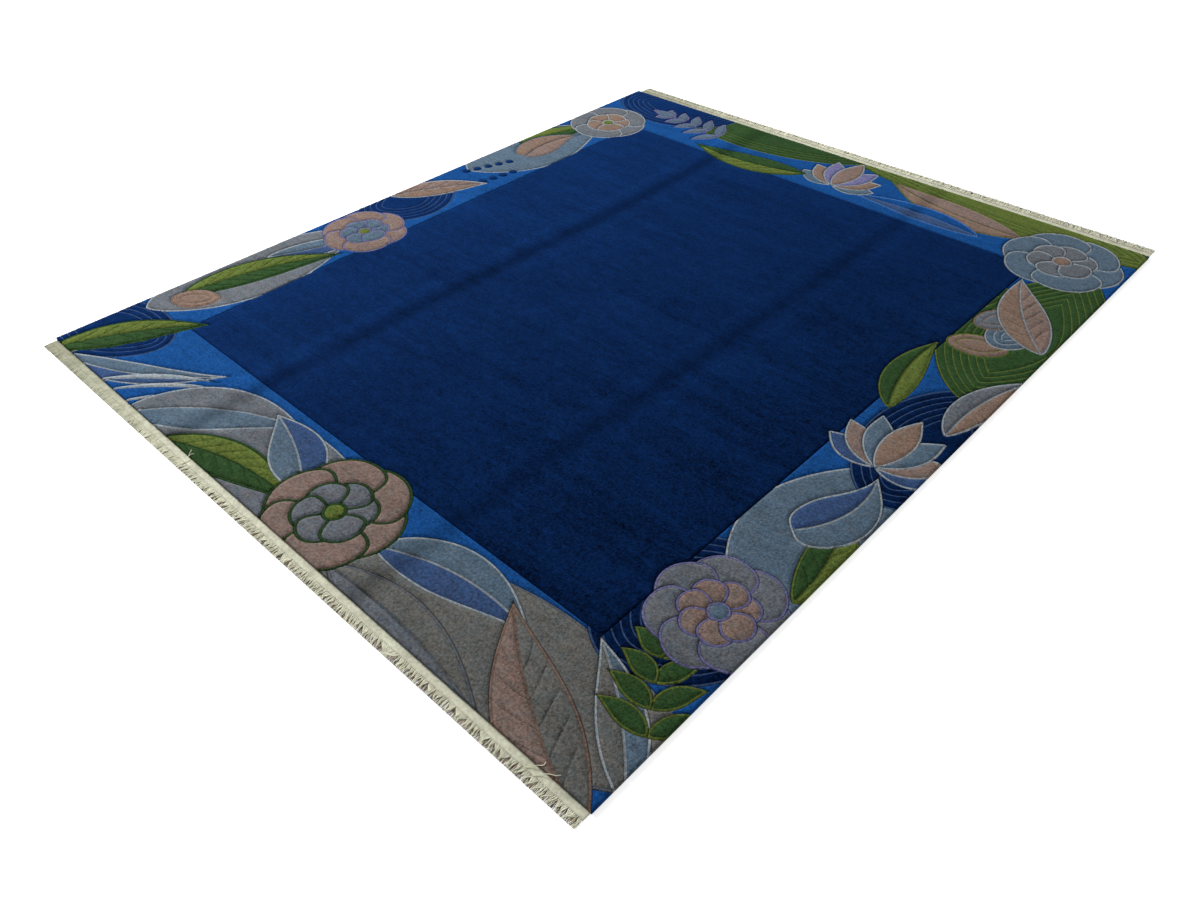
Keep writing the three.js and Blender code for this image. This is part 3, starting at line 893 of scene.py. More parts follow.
class Paint:
    """A node material under construction."""

    def __init__(self, name, **constants):
        self.material = bpy.data.materials.new(name)
        self.material.use_nodes = True
        self.tree = self.material.node_tree
        self.shader = self.tree.nodes["Principled BSDF"]
        for socket, value in constants.items():
            self.shader.inputs[socket.replace("_", " ")].default_value = value

    def node(self, kind, settings, inputs, output=0):
        node = self.tree.nodes.new(kind)
        for name, value in settings.items():
            setattr(node, name, value)
        for name, value in inputs.items():
            if isinstance(value, Wire):
                self.tree.links.new(value.socket, node.inputs[name])
            else:
                node.inputs[name].default_value = value
        return Wire(self, node.outputs[output])

    def math(self, operation, a, b=0.0):
        return self.node("ShaderNodeMath", {"operation": operation}, {0: a, 1: b})

    def place(self):
        return self.node("ShaderNodeTexCoord", {}, {}, "Object")

    def axis(self, vector, name):
        return self.node("ShaderNodeSeparateXYZ", {}, {"Vector": vector}, name)

    def stretched(self, vector, scale):
        return self.node(
            "ShaderNodeVectorMath", {"operation": "MULTIPLY"}, {0: vector, 1: scale})

    def noise(self, vector, scale, detail=2.0, roughness=0.5):
        inputs = {"Vector": vector, "Scale": scale, "Detail": detail, "Roughness": roughness}
        return self.node("ShaderNodeTexNoise", {}, inputs, 0)

    def cells(self, vector, scale, output):
        """Tufts: the "Distance" from the middle of each, or a "Color" of its own at random."""
        inputs = {"Vector": vector, "Scale": scale}
        return self.node("ShaderNodeTexVoronoi", {"feature": "F1"}, inputs, output)

    def mix(self, factor, a, b):
        """A colour between a and b."""
        return self.node(
            "ShaderNodeMix", {"data_type": "RGBA", "clamp_factor": True},
            {0: factor, 6: a, 7: b}, 2)

    def toned(self, colour, tone):
        """A colour made lighter or darker."""
        return self.node(
            "ShaderNodeVectorMath", {"operation": "SCALE"}, {0: colour, "Scale": tone})

    def colour(self, wire):
        self.tree.links.new(wire.socket, self.shader.inputs["Base Color"])

    def bump(self, height, distance, strength=1.0):
        normal = self.node(
            "ShaderNodeBump", {}, {"Strength": strength, "Distance": distance, "Height": height})
        self.tree.links.new(normal.socket, self.shader.inputs["Normal"])


def opaque(colour):
    return (*colour, 1.0)


def crease_painted_shade(paint, x, y, wobble):
    """Painted shade along the old folds, and painted highlight on both sides of them."""
    total = 0.0
    for crease in CREASES:
        centre = (y * CREASE_WAVES + crease.phase).sine() * crease.drift + crease.streak
        away = (x - centre + STREAK_WOBBLE * wobble) / crease.reach
        trough = (1 - abs(away)).clamped()
        total = trough * trough * (3 - 2 * trough) * (crease.shade + 0.5 * wobble) + total
        for side, lift in ((-1, crease.left), (1, crease.right)):
            highlight = (1 - abs(away - HIGHLIGHT_AWAY * side) / HIGHLIGHT_HALF).clamped()
            total = total - highlight * highlight * lift
    return total


def wool(name, colour, sizes, carving):
    """Cut wool pile: tufts, heathered dye, weft-wise streaks, painted shade in grooves and old
    folds.
    """
    lustre = [min(1.0, 2.5 * c) for c in colour]
    paint = Paint(
        f"wool_{name}", Roughness=1.0, Specular_IOR_Level=0.02,
        Sheen_Weight=0.7, Sheen_Roughness=0.5, Sheen_Tint=opaque(lustre))
    place = paint.place()
    x, y, z = (paint.axis(place, axis) for axis in "XYZ")
    tufts = paint.cells(place, 230, "Distance")
    mottle = paint.noise(place, 135, 2.0, 0.6)
    fibre = paint.noise(place, 330, 2.0, 0.6)
    patches = paint.noise(paint.stretched(place, (32.0, 50.0, 32.0)), 1.0, 3.0, 0.62)
    tuft_dye = paint.cells(place, 190, "Color")
    rows = paint.noise(paint.stretched(place, (9.0, 150.0, 9.0)), 1.0, 2.0)
    streaks = paint.noise(paint.stretched(place, (2.4, 21.0, 2.4)), 1.0, 3.0, 0.6)
    abrash = paint.noise(paint.stretched(place, (0.9, 6.0, 1.0)), 1.0, 2.0, 0.5)
    cloud = paint.noise(place, 2.6, 2.0)
    wobble = paint.noise(paint.stretched(place, (5.0, 9.0, 5.0)), 1.0, 3.0, 0.6) - 0.5
    depth = ((sizes.pile_top - z) / carving.depth).clamped()
    shadow = depth * depth * z.over(2 * sizes.back)
    grain = 1.85 * (mottle - 0.5) + 0.85 * (fibre - 0.5) + 0.50 * (rows - 0.5)
    # Each tuft is painted a little darker towards its edge: painted shade between the tufts
    grain = grain + 0.26 * (paint.axis(tuft_dye, "X") - 0.5) - 0.20 * (tufts - 0.4)
    broad = 1.00 * (patches - 0.5) + 0.90 * (streaks - 0.5) * (cloud + 0.5)
    broad = broad + 0.55 * (abrash - 0.5) + 0.55 * (cloud - 0.5)
    # The field's yarn gets the painted light: lighter towards the left and the far end
    if name == FIELD_YARN:
        tone = 1.0 + grain + broad + FIELD_PAINTED_LIGHT[0] * x + FIELD_PAINTED_LIGHT[1] * y
    else:
        tone = 1.0 + 0.9 * grain + 0.5 * broad
    # Painted shade at the bottom of the grooves, and painted shade and highlight along the old
    # folds
    tone = tone * (1.0 - GROOVE_SHADOW * shadow) * (1.0 - crease_painted_shade(paint, x, y, wobble))
    warm = [c * share for c, share in zip(colour, WARM_DYE)]
    cool = [c * share for c, share in zip(colour, COOL_DYE)]
    heather = paint.noise(place, 42, 3.0)
    hue = 0.5 + 2.4 * (heather - 0.5) + 0.55 * (paint.axis(tuft_dye, "Y") - 0.5)
    dyed = paint.mix(hue, opaque(cool), opaque(warm))
    paint.colour(paint.toned(dyed, tone))
    paint.bump(0.6 * (1.0 - tufts) + 0.8 * mottle + 0.4 * fibre, 0.0024, 0.85)
    return paint.material


def knotted(name, colour, sizes):
    """The rug's underside: rows of wool knots, each a small bar, with cotton weft between rows."""
    paint = Paint(f"knots_{name}", Roughness=1.0, Specular_IOR_Level=0.02)
    place = paint.place()
    x, y = (paint.axis(place, axis) for axis in "XY")
    drift = paint.noise(place, 60, 2.0) - 0.5
    column = (x * (2 * math.pi / sizes.knot_width) + 1.5 * drift).sine() * 0.5 + 0.5
    row = ((y + 0.0012 * drift) * (2 * math.pi / sizes.knot_height)).sine() * 0.5 + 0.5
    knot = column ** 0.35 * row ** 0.6
    fibre = paint.noise(place, 420, 2.0, 0.6)
    abrash = paint.noise(paint.stretched(place, (0.9, 6.0, 1.0)), 1.0, 3.0, 0.5)
    # The knots are painted darker towards their edges and between the rows: painted shade between
    # them
    tone = 0.45 + 0.65 * knot + 0.5 * (fibre - 0.5) + 0.4 * (abrash - 0.5)
    weft = (0.32 - row).clamped() * 1.6
    dyed = paint.mix(weft, opaque(colour), opaque(WEFT_COLOUR))
    paint.colour(paint.toned(dyed, tone))
    paint.bump(knot + 0.2 * fibre, 0.0006, 0.9)
    return paint.material


def cotton(name, look):
    """Undyed cotton for the ribbed web and the fringe's plied yarn, and the dark yarn under it,
    which is painted shade.
    """
    finish = COTTONS[name]
    paint = Paint(name, Roughness=0.88, Specular_IOR_Level=0.2, Sheen_Weight=0.12)
    place = paint.place()
    x, y = (paint.axis(place, axis) for axis in "XY")
    soil = paint.noise(place, 22, 3.0, 0.6)
    fibre = paint.noise(place, 420, 2.0)
    # The cotton is made darker towards the rug's left end, and in random patches
    wear = ((look.darkened_to - x) * (finish.wear * look.wear)).clamped()
    shaded = paint.mix((soil - 0.35) * 1.2 + wear, opaque(look.colour), opaque(look.shade))
    if name == "cotton_web":
        lumps = paint.noise(place, 115, 3.0, 0.6)
        warp = (x * (2 * math.pi / WARP_SPACING)).sine() * 0.5 + 0.5
        weft = (y * (2 * math.pi / WEFT_SPACING)).sine() * 0.5 + 0.5
        weave = 0.65 * warp + 0.35 * weft
        tone = finish.tone + 0.14 * weave + 0.3 * (fibre - 0.5) + 0.75 * (lumps - 0.5)
        paint.bump(weave + 0.5 * fibre, 0.0005, 0.8)
    else:
        strand = paint.node("ShaderNodeNewGeometry", {}, {}, "Random Per Island")
        ply = paint.noise(paint.stretched(place, (900.0, 260.0, 900.0)), 1.0, 1.0)
        tone = finish.tone + 0.36 * strand + 0.5 * (ply - 0.5)
        paint.bump(ply + 0.4 * fibre, 0.0004, 0.8)
    # The yarn under the fringe is painted dark with darker patches: painted shade between the
    # strands
    if name == "cotton_under":
        shade_patches = 0.5 + 3.0 * (paint.noise(place, 55, 2.0) - 0.5)
        shaded = paint.mix(shade_patches, opaque(look.shade_underneath), opaque(look.deep_shade))
    paint.colour(paint.toned(shaded, tone))
    return paint.material


# Meshes

def mesh_object(name, points, faces, materials, slots=None, smooth=True):
    """A new piece from arrays; faces all have the same number of corners."""
    mesh = bpy.data.meshes.new(name)
    faces = np.asarray(faces)
    corners = faces.shape[1]
    mesh.vertices.add(len(points))
    mesh.vertices.foreach_set("co", np.asarray(points, np.float32).ravel())
    mesh.loops.add(faces.size)
    mesh.loops.foreach_set("vertex_index", faces.astype(np.int32).ravel())
    mesh.polygons.add(len(faces))
    mesh.polygons.foreach_set("loop_start", np.arange(len(faces), dtype=np.int32) * corners)
    for material in materials:
        mesh.materials.append(material)
    if slots is not None:
        mesh.polygons.foreach_set("material_index", np.asarray(slots, np.int32))
    mesh.update(calc_edges=True)
    mesh.validate()
    if smooth:
        mesh.shade_smooth()
    piece = bpy.data.objects.new(name, mesh)
    bpy.context.scene.collection.objects.link(piece)
    return piece


def finish_piece(piece, slot, *nodes):
    piece.location.y = PILE_MIDDLE
    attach(piece, "root")
    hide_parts(*nodes)


def wool_materials(scene):
    made = []
    for name in YARN_NAMES:
        material = bpy.data.materials.get(f"wool_{name}")
        if material is None:
            colour = getattr(scene.rug_yarns, name)
            material = wool(name, colour, scene.rug_sizes, scene.rug_carving)
        made.append(material)
    return made


def knot_materials(scene):
    return [knotted(name, getattr(scene.rug_yarns, name), scene.rug_sizes) for name in YARN_NAMES]


def cotton_material(scene, name):
    return bpy.data.materials.get(name) or cotton(name, scene.rug_cotton)


def tubes(paths, radii, sides, spin):
    """Closed tubes along paths of equal length, as points and triangles."""
    count, steps, _ = paths.shape
    run = np.gradient(paths, axis=1)
    run /= np.maximum(np.linalg.norm(run, axis=2, keepdims=True), 1e-9)
    aside = np.cross(run, (0, 0, 1))
    aside /= np.maximum(np.linalg.norm(aside, axis=2, keepdims=True), 1e-9)
    rise = np.cross(aside, run)
    angle = spin + 2 * np.pi * np.arange(sides) / sides
    ring = aside[:, :, None] * np.cos(angle)[:, None] + rise[:, :, None] * np.sin(angle)[:, None]
    points = paths[:, :, None] + ring * radii[:, :, None, None]
    index = np.arange(count * steps * sides).reshape(count, steps, sides)
    here, turned = index[:, :-1], np.roll(index[:, :-1], -1, axis=2)
    after, after_turned = index[:, 1:], np.roll(index[:, 1:], -1, axis=2)
    first = np.stack([here, turned, after_turned], axis=-1).reshape(-1, 3)
    second = np.stack([here, after_turned, after], axis=-1).reshape(-1, 3)
    caps = []
    for i in range(1, sides - 1):
        caps.append(np.stack([index[:, 0, 0], index[:, 0, i + 1], index[:, 0, i]], axis=-1))
        caps.append(np.stack([index[:, -1, 0], index[:, -1, i], index[:, -1, i + 1]], axis=-1))
    return points.reshape(-1, 3), np.concatenate([first, second, *caps])


class RUG_OT_pile(bpy.types.Operator):
    """Knot and clip the pile: the plain field and the four border stretches"""
    bl_idname = "rug.pile"
    bl_label = "Pile"

    def execute(self, context):
        scene = context.scene
        sizes, carving = scene.rug_sizes, scene.rug_carving
        areas = design(sizes, PILE_STEP)
        pairs = design_lines(areas, carving, False)
        for share in RIM_LINES:
            inset = sizes.rim_slope * share
            pairs += rectangle_pairs(HALF_WIDTH - inset, HALF_LENGTH - inset, RIM_STEP)
        side, near, far = field_limits(sizes)
        for y in (near, far):
            ends = np.array([(-HALF_WIDTH, y), (HALF_WIDTH, y)])
            pairs += line_pairs(*ends, BORDER_STEP)
        points, faces = triangulate(pairs, scattered_grid(sizes.grid, SEEDS["pile"]))
        centres = points[faces].mean(1)
        cut, _ = survey(points, areas, carving)
        _, yarn = survey(centres, areas, carving)
        height = pile_height(points, sizes) - cut
        heights = np.column_stack([points, height])

        x, y = centres[:, 0], centres[:, 1]
        between = (y > near) & (y < far)
        stretches = {
            "pile_near": y <= near,
            "pile_far": y >= far,
            "pile_left": between & (x <= -side),
            "pile_right": between & (x >= side),
            "pile_field": between & (np.abs(x) < side),
        }
        for name, chosen in stretches.items():
            self.stretch(scene, name, heights, faces[chosen], yarn[chosen])
        return {"FINISHED"}

    def stretch(self, scene, name, points, faces, yarn):
        """One stretch of pile with its cut side where it meets the rug's edge."""
        sizes = scene.rug_sizes
        used, renamed = np.unique(faces, return_inverse=True)
        points = points[used]
        faces = renamed.reshape(-1, 3)
        at_x = np.abs(points[:, 0]) > HALF_WIDTH - AT_EDGE
        at_y = np.abs(points[:, 1]) > HALF_LENGTH - AT_EDGE
        rim = at_x | at_y
        sides, side_yarn, fresh = [], [], []
        levels = {}
        for corner in range(3):
            a, b = faces[:, corner], faces[:, (corner + 1) % 3]
            for i in np.flatnonzero(rim[a] & rim[b]):
                dx, dy, _ = np.abs(points[a[i]] - points[b[i]])
                along_side = at_x[a[i]] and dx < AT_EDGE
                along_end = at_y[a[i]] and dy < AT_EDGE
                if not (along_side or along_end):
                    continue
                for end in (a[i], b[i]):
                    if end in levels:
                        continue
                    below = len(points) + len(fresh)
                    px, py, pz = points[end]
                    out_x = EDGE_BULGE_X * at_x[end] * np.sign(px)
                    out_y = EDGE_BULGE_Y * at_y[end] * np.sign(py)
                    fresh.append((px + out_x, py + out_y, (pz + sizes.back) / 2))
                    fresh.append((px, py, sizes.back))
                    levels[end] = (end, below, below + 1)
                first, second = levels[a[i]], levels[b[i]]
                for level in (0, 1):
                    sides.append((second[level], first[level], first[level + 1]))
                    sides.append((second[level], first[level + 1], second[level + 1]))
                    side_yarn += [yarn[i], yarn[i]]
        if fresh:
            points = np.concatenate([points, fresh])
            faces = np.concatenate([faces, sides])
            yarn = np.concatenate([yarn, side_yarn])
        piece = mesh_object(name, points, faces, wool_materials(scene), yarn)
        finish_piece(piece, "wool_pile", "pile")


class RUG_OT_back(bpy.types.Operator):
    """Weave the back, where the pattern shows mirrored"""
    bl_idname = "rug.back"
    bl_label = "Back"

    def execute(self, context):
        scene = context.scene
        sizes, carving = scene.rug_sizes, scene.rug_carving
        areas = design(sizes, BACK_STEP)
        pairs = design_lines(areas, carving, True)
        pairs += rectangle_pairs(HALF_WIDTH, HALF_LENGTH, BACK_GRID)
        points, faces = triangulate(pairs, scattered_grid(BACK_GRID, SEEDS["back"]))
        _, yarn = survey(points[faces].mean(1), areas, carving)
        count = len(points)
        under = np.column_stack([points, np.zeros(count)])
        over = np.column_stack([points, np.full(count, sizes.back)])
        edges = np.concatenate([faces[:, [0, 1]], faces[:, [1, 2]], faces[:, [2, 0]]])
        owners = np.concatenate([yarn, yarn, yarn])
        _, first, uses = np.unique(
            np.sort(edges, axis=1), axis=0, return_index=True, return_counts=True)
        rim = first[uses == 1]
        a, b = edges[rim, 0], edges[rim, 1]
        sides = np.concatenate([
            np.stack([a, b, b + count], axis=1), np.stack([a, b + count, a + count], axis=1)])
        triangles = np.concatenate([faces[:, ::-1], faces + count, sides])
        slots = np.concatenate([yarn, yarn, owners[rim], owners[rim]])
        piece = mesh_object(
            "woven_back", np.concatenate([under, over]), triangles, knot_materials(scene), slots,
            smooth=False)
        finish_piece(piece, "wool_pile", "pile")
        return {"FINISHED"}


class RUG_OT_rim(bpy.types.Operator):
    """Stand loose tufts along the rug's four cut edges"""
    bl_idname = "rug.rim"
    bl_label = "Edge tufts"

    def execute(self, context):
        scene = context.scene
        sizes = scene.rug_sizes
        rng = np.random.default_rng(SEEDS["tufts"])
        roots, outward = [], []
        for axis, half, other in ((0, HALF_WIDTH, HALF_LENGTH), (1, HALF_LENGTH, HALF_WIDTH)):
            count = int(2 * other / RIM_SPACING)
            reach = other - sizes.rim_slope
            for sign in (-1, 1):
                along = np.linspace(-other, other, count) + rng.uniform(-0.001, 0.001, count)
                root = np.zeros((count, 2))
                root[:, axis] = sign * (half - rng.uniform(0.0002, 0.0022, count))
                root[:, 1 - axis] = np.clip(along, -reach, reach)
                out = np.zeros((count, 2))
                out[:, axis] = sign
                roots.append(root)
                outward.append(out)
        root = np.concatenate(roots)
        out = np.concatenate(outward)
        _, yarn = survey(root, design(sizes, BACK_STEP), scene.rug_carving)
        count = len(root)
        lean = rng.uniform(0.0004, 0.0022, count)[:, None]
        sway = rng.uniform(-0.0012, 0.0012, (count, 1)) * out[:, ::-1]
        start = rng.uniform(0.35, 0.8, count) * sizes.pile_top
        top = sizes.pile_top - sizes.rim_slope * rng.uniform(0.45, 1.15, count)
        paths = np.empty((count, 3, 3))
        for step, share in enumerate((0.0, 0.6, 1.0)):
            paths[:, step, :2] = root + (out * lean + sway) * share
            paths[:, step, 2] = start + (top - start) * share
        radii = np.array(TUFT_RADII) * rng.uniform(0.8, 1.3, (count, 1))
        points, faces = tubes(paths, radii, 4, 0.4)
        around = np.repeat(yarn, 2 * 4)
        slots = np.concatenate([around, around, *[yarn] * 4])
        piece = mesh_object("edge_tufts", points, faces, wool_materials(scene), slots)
        finish_piece(piece, "wool_pile", "pile")
        return {"FINISHED"}


# The rug's ends: which way they face, the names of their sizes, and how openly the fringe lies
# at the left and at the right, from 0 for yarn beside yarn to 1 for loose bundles
End = namedtuple("End", "sign web fringe open_left open_right")
ENDS = {
    "near": End(-1, "near_web", "near_fringe", 0.0, 1.0),
    "far": End(1, "far_web", "far_fringe", 0.15, 0.45),
}


# A set of fringe strands as arrays: where each starts, the middle of its bundle and how far it
# goes there, how far it leans, where its waves start, its length, half its thickness and its waves
Strands = namedtuple("Strands", "x centre together lean phase reach thick wave")


class RUG_OT_webs(bpy.types.Operator):
    """Weave the flat cotton end beyond the pile, at both ends"""
    bl_idname = "rug.webs"
    bl_label = "Flat-woven ends"

    def execute(self, context):
        for name, end in ENDS.items():
            self.web(context.scene, name, end)
        return {"FINISHED"}

    def web(self, scene, name, end):
        sizes = scene.rug_fringe
        rng = np.random.default_rng(SEEDS["webs"] + end.sign)
        x = np.linspace(NEAR_LOW[0], NEAR_HIGH[0], WEB_COLUMNS)
        inner = HALF_LENGTH - WEB_LAP
        fray = rng.uniform(-1, 1, WEB_COLUMNS + 4)
        frayed = np.convolve(fray, np.ones(5) / 5, "valid") * WEB_FRAY
        outer = HALF_LENGTH + getattr(sizes, end.web) + frayed
        t = np.linspace(0, 1, WEB_ROWS)[:, None]
        y = end.sign * (inner * (1 - t) + outer * t)
        ribs = RIB_HEIGHT * np.sin(x * 2 * np.pi / RIB_SPACING)
        waves = 0.00025 * np.sin(13 * x + 3 * np.sin(4 * x + end.sign))
        fall = WEB_FALL * np.clip(t - 0.75, 0, 1) * 4
        top = sizes.web_thickness - WEB_SINK + ribs + waves - fall
        over = np.stack([np.broadcast_to(x, y.shape), y, top], axis=-1).reshape(-1, 3)
        under = over * (1, 1, 0)
        count = WEB_ROWS * WEB_COLUMNS
        grid = np.arange(count).reshape(WEB_ROWS, WEB_COLUMNS)
        a, b = grid[:-1, :-1].ravel(), grid[:-1, 1:].ravel()
        c, d = grid[1:, 1:].ravel(), grid[1:, :-1].ravel()
        upper = np.stack([a, b, c, d], axis=1)
        rim = np.concatenate([grid[0, :-1], grid[:-1, -1], grid[-1, :0:-1], grid[:0:-1, 0]])
        after = np.roll(rim, -1)
        sides = np.stack([rim, rim + count, after + count, after], axis=1)
        lower = np.stack([a, d, c, b], axis=1) + count
        faces = np.concatenate([upper, lower, sides])
        if end.sign < 0:
            faces = faces[:, ::-1]
        material = cotton_material(scene, "cotton_web")
        piece = mesh_object(
            f"web_{name}_weave", np.concatenate([over, under]), faces, [material])
        finish_piece(piece, "cotton_fringe", f"web_{name}")


class RUG_OT_fringes(bpy.types.Operator):
    """Lay out the loose warp ends beyond both webs, dense in places and in bundles in others"""
    bl_idname = "rug.fringes"
    bl_label = "Fringes"

    def execute(self, context):
        for name, end in ENDS.items():
            self.fringe(context.scene, name, end)
        return {"FINISHED"}

    def fringe(self, scene, name, end):
        sizes = scene.rug_fringe
        rng = np.random.default_rng(SEEDS["fringes"] + end.sign)
        half = NEAR_HIGH[0] - sizes.yarn
        full = getattr(sizes, end.fringe)
        sets = [
            self.tubes_of(self.yarns(half, full, end, sizes, rng), end, sizes, rng, 4, 9, LIFT),
            self.tubes_of(self.wisps(half, full, sizes, rng), end, sizes, rng, 3, 9, LIFT),
            # The dark warp ends underneath are painted shade between the others
            self.tubes_of(self.under(half, full, sizes, rng), end, sizes, rng, 3, 5, 0.0),
        ]
        points = np.concatenate([places for places, _ in sets])
        starts = np.cumsum([0] + [len(places) for places, _ in sets[:-1]])
        faces = np.concatenate([found + start for start, (_, found) in zip(starts, sets)])
        slots = np.repeat((0, 0, 1), [len(found) for _, found in sets])
        materials = [cotton_material(scene, "cotton_yarn"), cotton_material(scene, "cotton_under")]
        piece = mesh_object(f"fringe_{name}", points, faces, materials, slots)
        finish_piece(piece, "cotton_fringe", f"web_{name}")

    def yarns(self, half, full, end, sizes, rng):
        """The warp ends: side by side on the dense left, in wavy bundles where they lie loose."""
        count = int(2 * half / sizes.pitch)
        x = np.linspace(-half, half, count) + rng.uniform(-0.3, 0.3, count) * sizes.pitch
        ease = np.clip((x - LOOSER_FROM) / LOOSER_OVER, 0, 1) ** 0.7
        loose = end.open_left * (1 - ease) + end.open_right * ease
        bundle = np.cumsum(rng.random(count) < sizes.looseness)
        bundles = bundle[-1] + 1
        members = np.maximum(np.bincount(bundle, minlength=bundles), 1)
        centre = (np.bincount(bundle, x, bundles) / members)[bundle]
        alike = rng.normal(0, 1, (3, bundles))[:, bundle]
        together = (0.12 + 0.95 * loose) * (1 + 0.20 * alike[0])
        slow = 0.0055 * np.sin(4.1 * x + end.sign) + 0.004 * np.sin(17 * x + 2 * end.sign)
        lean = slow + 0.003 * loose + alike[1] * (0.0008 + 0.0045 * loose)
        lean = lean + rng.normal(0, 0.0012, count)
        share = 0.985 + (0.010 + 0.012 * loose) * (alike[2] + rng.normal(0, 1, count))
        phase = rng.uniform(0, 2 * np.pi, bundles)[bundle] + rng.normal(0, 0.25, count)
        return Strands(
            x, centre, np.clip(together, 0.05, 1.0), lean, phase,
            full * np.clip(share, 0.9, 1.01), sizes.yarn / 2 * (1.25 - 0.25 * loose),
            0.0012 + 0.0012 * loose)

    def wisps(self, half, full, sizes, rng):
        """Loose single fibres over the warp ends."""
        count = sizes.wisps
        x = rng.uniform(-half, half, count)
        alone = np.ones(count)
        return Strands(
            x, x, alone, rng.normal(0, 0.007, count), rng.uniform(0, 2 * np.pi, count),
            full * rng.uniform(0.5, 1.08, count), alone * sizes.wisp / 2, 0.0030 * alone)

    def under(self, half, full, sizes, rng):
        """Dark warp ends that lie flat under the others and show between them, as painted shade
        between the strands.
        """
        count = int(2 * half / sizes.under_pitch)
        x = np.linspace(-half, half, count)
        alone = np.ones(count)
        return Strands(
            x, x, 0 * alone, rng.normal(0, 0.0008, count), rng.uniform(0, 2 * np.pi, count),
            full * rng.uniform(0.97, 1.0, count), alone * sizes.under / 2, 0.0008 * alone)

    def tubes_of(self, strands, end, sizes, rng, sides, steps, lift):
        """The strands as tubes, from the web's outer edge down to the floor."""
        count = len(strands.x)
        t = np.linspace(0, 1, steps)[None]
        lay = Strands(*(np.asarray(part)[:, None] for part in strands))
        joined = lay.together * np.clip(1.4 * t, 0, 1) ** 1.6
        twist = rng.uniform(0, 2 * np.pi, (count, 1)) + 5.0 * t
        side = (lay.centre - lay.x) * joined + lay.lean * t ** 1.4
        side = side + lay.wave * t * np.sin(6.5 * t + lay.phase)
        side = side + 0.55 * lay.thick * joined * np.cos(twist)
        rise = lay.thick * joined * (1 + np.sin(twist)) + lift * t
        root = HALF_LENGTH + getattr(sizes, end.web) - TUCK
        paths = np.empty((count, steps, 3))
        paths[:, :, 0] = lay.x + side
        paths[:, :, 1] = end.sign * (root + lay.reach * t)
        paths[:, :, 2] = sizes.web_thickness * 0.5 * (1 - t) + lay.thick * 1.05 + rise
        taper = lay.thick * (1.0 - 0.25 * t ** 2) * rng.uniform(0.85, 1.15, (count, 1))
        return tubes(paths, taper, sides, 0.6)


class RUG_OT_strays(bpy.types.Operator):
    """Lay a few stray warp threads over the near web and onto the pile"""
    bl_idname = "rug.strays"
    bl_label = "Stray threads"

    def execute(self, context):
        scene = context.scene
        radius = scene.rug_fringe.yarn * STRAY_SHARE
        paths = []
        longest = max(len(route) for route in STRAYS)
        for route in STRAYS:
            route = np.array(route)
            t = np.linspace(0, len(route) - 1, STRAY_STEPS * (longest - 1) + 1)
            at = np.minimum(t.astype(int), len(route) - 2)
            part = (t - at)[:, None]
            before = route[np.maximum(at - 1, 0)]
            after = route[np.minimum(at + 2, len(route) - 1)]
            a, b = route[at], route[at + 1]
            leave, arrive = (b - before) / 2, (after - a) / 2
            paths.append(
                (2 * part ** 3 - 3 * part ** 2 + 1) * a
                + (part ** 3 - 2 * part ** 2 + part) * leave
                + (3 * part ** 2 - 2 * part ** 3) * b
                + (part ** 3 - part ** 2) * arrive)
        paths = np.array(paths)
        radii = np.full(paths.shape[:2], radius)
        points, faces = tubes(paths, radii, 6, 0.0)
        material = cotton_material(scene, "cotton_yarn")
        piece = mesh_object("stray_threads", points, faces, [material])
        finish_piece(piece, "cotton_fringe", "web_near")
        return {"FINISHED"}


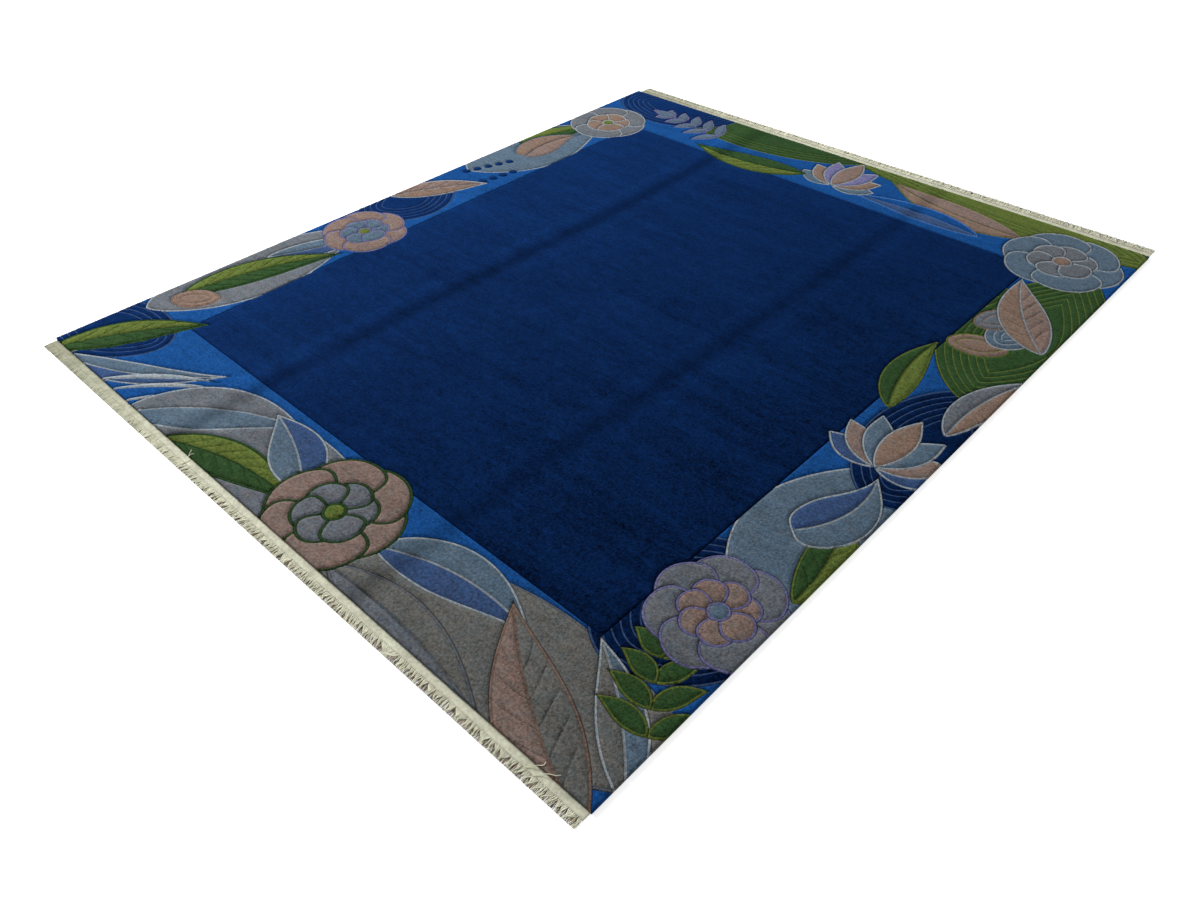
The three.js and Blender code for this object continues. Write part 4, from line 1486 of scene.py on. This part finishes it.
class RUG_OT_stage(bpy.types.Operator):
    """Set out the plain floor, the soft light and the camera"""
    bl_idname = "rug.stage"
    bl_label = "Floor, light and camera"

    def execute(self, context):
        scene = context.scene
        look = scene.rug_stage
        self.floor(look)
        self.lights(scene, look)
        self.camera(scene, look)
        return {"FINISHED"}

    def floor(self, look):
        half = FLOOR_SIZE / 2
        corners = ((-half, -half), (half, -half), (half, half), (-half, half))
        points = [(x, y, FLOOR_HEIGHT) for x, y in corners]
        paint = Paint(
            "plain_floor", Roughness=0.85, Specular_IOR_Level=0.2,
            Emission_Color=(1.0, 1.0, 1.0, 1.0), Emission_Strength=0.60)
        haze = paint.noise(paint.place(), 0.8, 2.0)
        paint.colour(paint.mix(
            haze, opaque(look.floor_colour), opaque([0.97 * c for c in look.floor_colour])))
        mesh_object("floor", points, [(0, 1, 2, 3)], [paint.material], smooth=False)

    def lights(self, scene, look):
        lamp = bpy.data.lights.new("soft_lamp", "POINT")
        lamp.shadow_soft_size = look.lamp_radius
        lamp.energy = look.lamp_power
        holder = bpy.data.objects.new("soft_lamp", lamp)
        holder.location = LAMP_PLACE
        holder.visible_camera = False
        scene.collection.objects.link(holder)
        world = bpy.data.worlds.new("even_light")
        world.use_nodes = True
        background = world.node_tree.nodes["Background"]
        background.inputs["Color"].default_value = (1.0, 1.0, 1.0, 1.0)
        background.inputs["Strength"].default_value = look.sky_power
        scene.world = world
        scene.view_settings.view_transform = "Standard"

    def camera(self, scene, look):
        data = bpy.data.cameras.new("camera")
        data.lens = look.lens
        data.sensor_width = SENSOR_WIDTH
        data.clip_end = FLOOR_SIZE
        camera = bpy.data.objects.new("camera", data)
        turn = Matrix.Rotation(look.heading, 4, "Z")
        tip = Matrix.Rotation(math.pi / 2 - look.tilt, 4, "X")
        roll = Matrix.Rotation(look.roll, 4, "Z")
        place = Matrix.Translation((look.camera_x, look.camera_y, look.camera_z))
        camera.matrix_world = place @ turn @ tip @ roll
        scene.collection.objects.link(camera)
        scene.camera = camera


OPERATORS = [
    RUG_OT_stage, RUG_OT_pile, RUG_OT_back, RUG_OT_rim, RUG_OT_webs, RUG_OT_fringes, RUG_OT_strays]


class RUG_PT_panel(bpy.types.Panel):
    bl_idname = "RUG_PT_panel"
    bl_label = "Nepalese rug"
    bl_space_type = "VIEW_3D"
    bl_region_type = "UI"
    bl_category = "Rug"

    def draw(self, context):
        for operator in OPERATORS:
            self.layout.operator(operator.bl_idname)
        for name, group in GROUPS.items():
            box = self.layout.box()
            box.label(text=name.replace("_", " ").capitalize())
            for prop in group.__annotations__:
                box.prop(getattr(context.scene, name), prop)


def register():
    for group in GROUPS.values():
        bpy.utils.register_class(group)
    for name, group in GROUPS.items():
        setattr(bpy.types.Scene, name, PointerProperty(type=group))
    for operator in OPERATORS:
        bpy.utils.register_class(operator)
    bpy.utils.register_class(RUG_PT_panel)


def unregister():
    bpy.utils.unregister_class(RUG_PT_panel)
    for operator in reversed(OPERATORS):
        bpy.utils.unregister_class(operator)
    for name, group in GROUPS.items():
        delattr(bpy.types.Scene, name)
        bpy.utils.unregister_class(group)


def main():
    register()
    for operator in OPERATORS:
        family, name = operator.bl_idname.split(".")
        getattr(getattr(bpy.ops, family), name)()


if __name__ == "__main__":
    main()
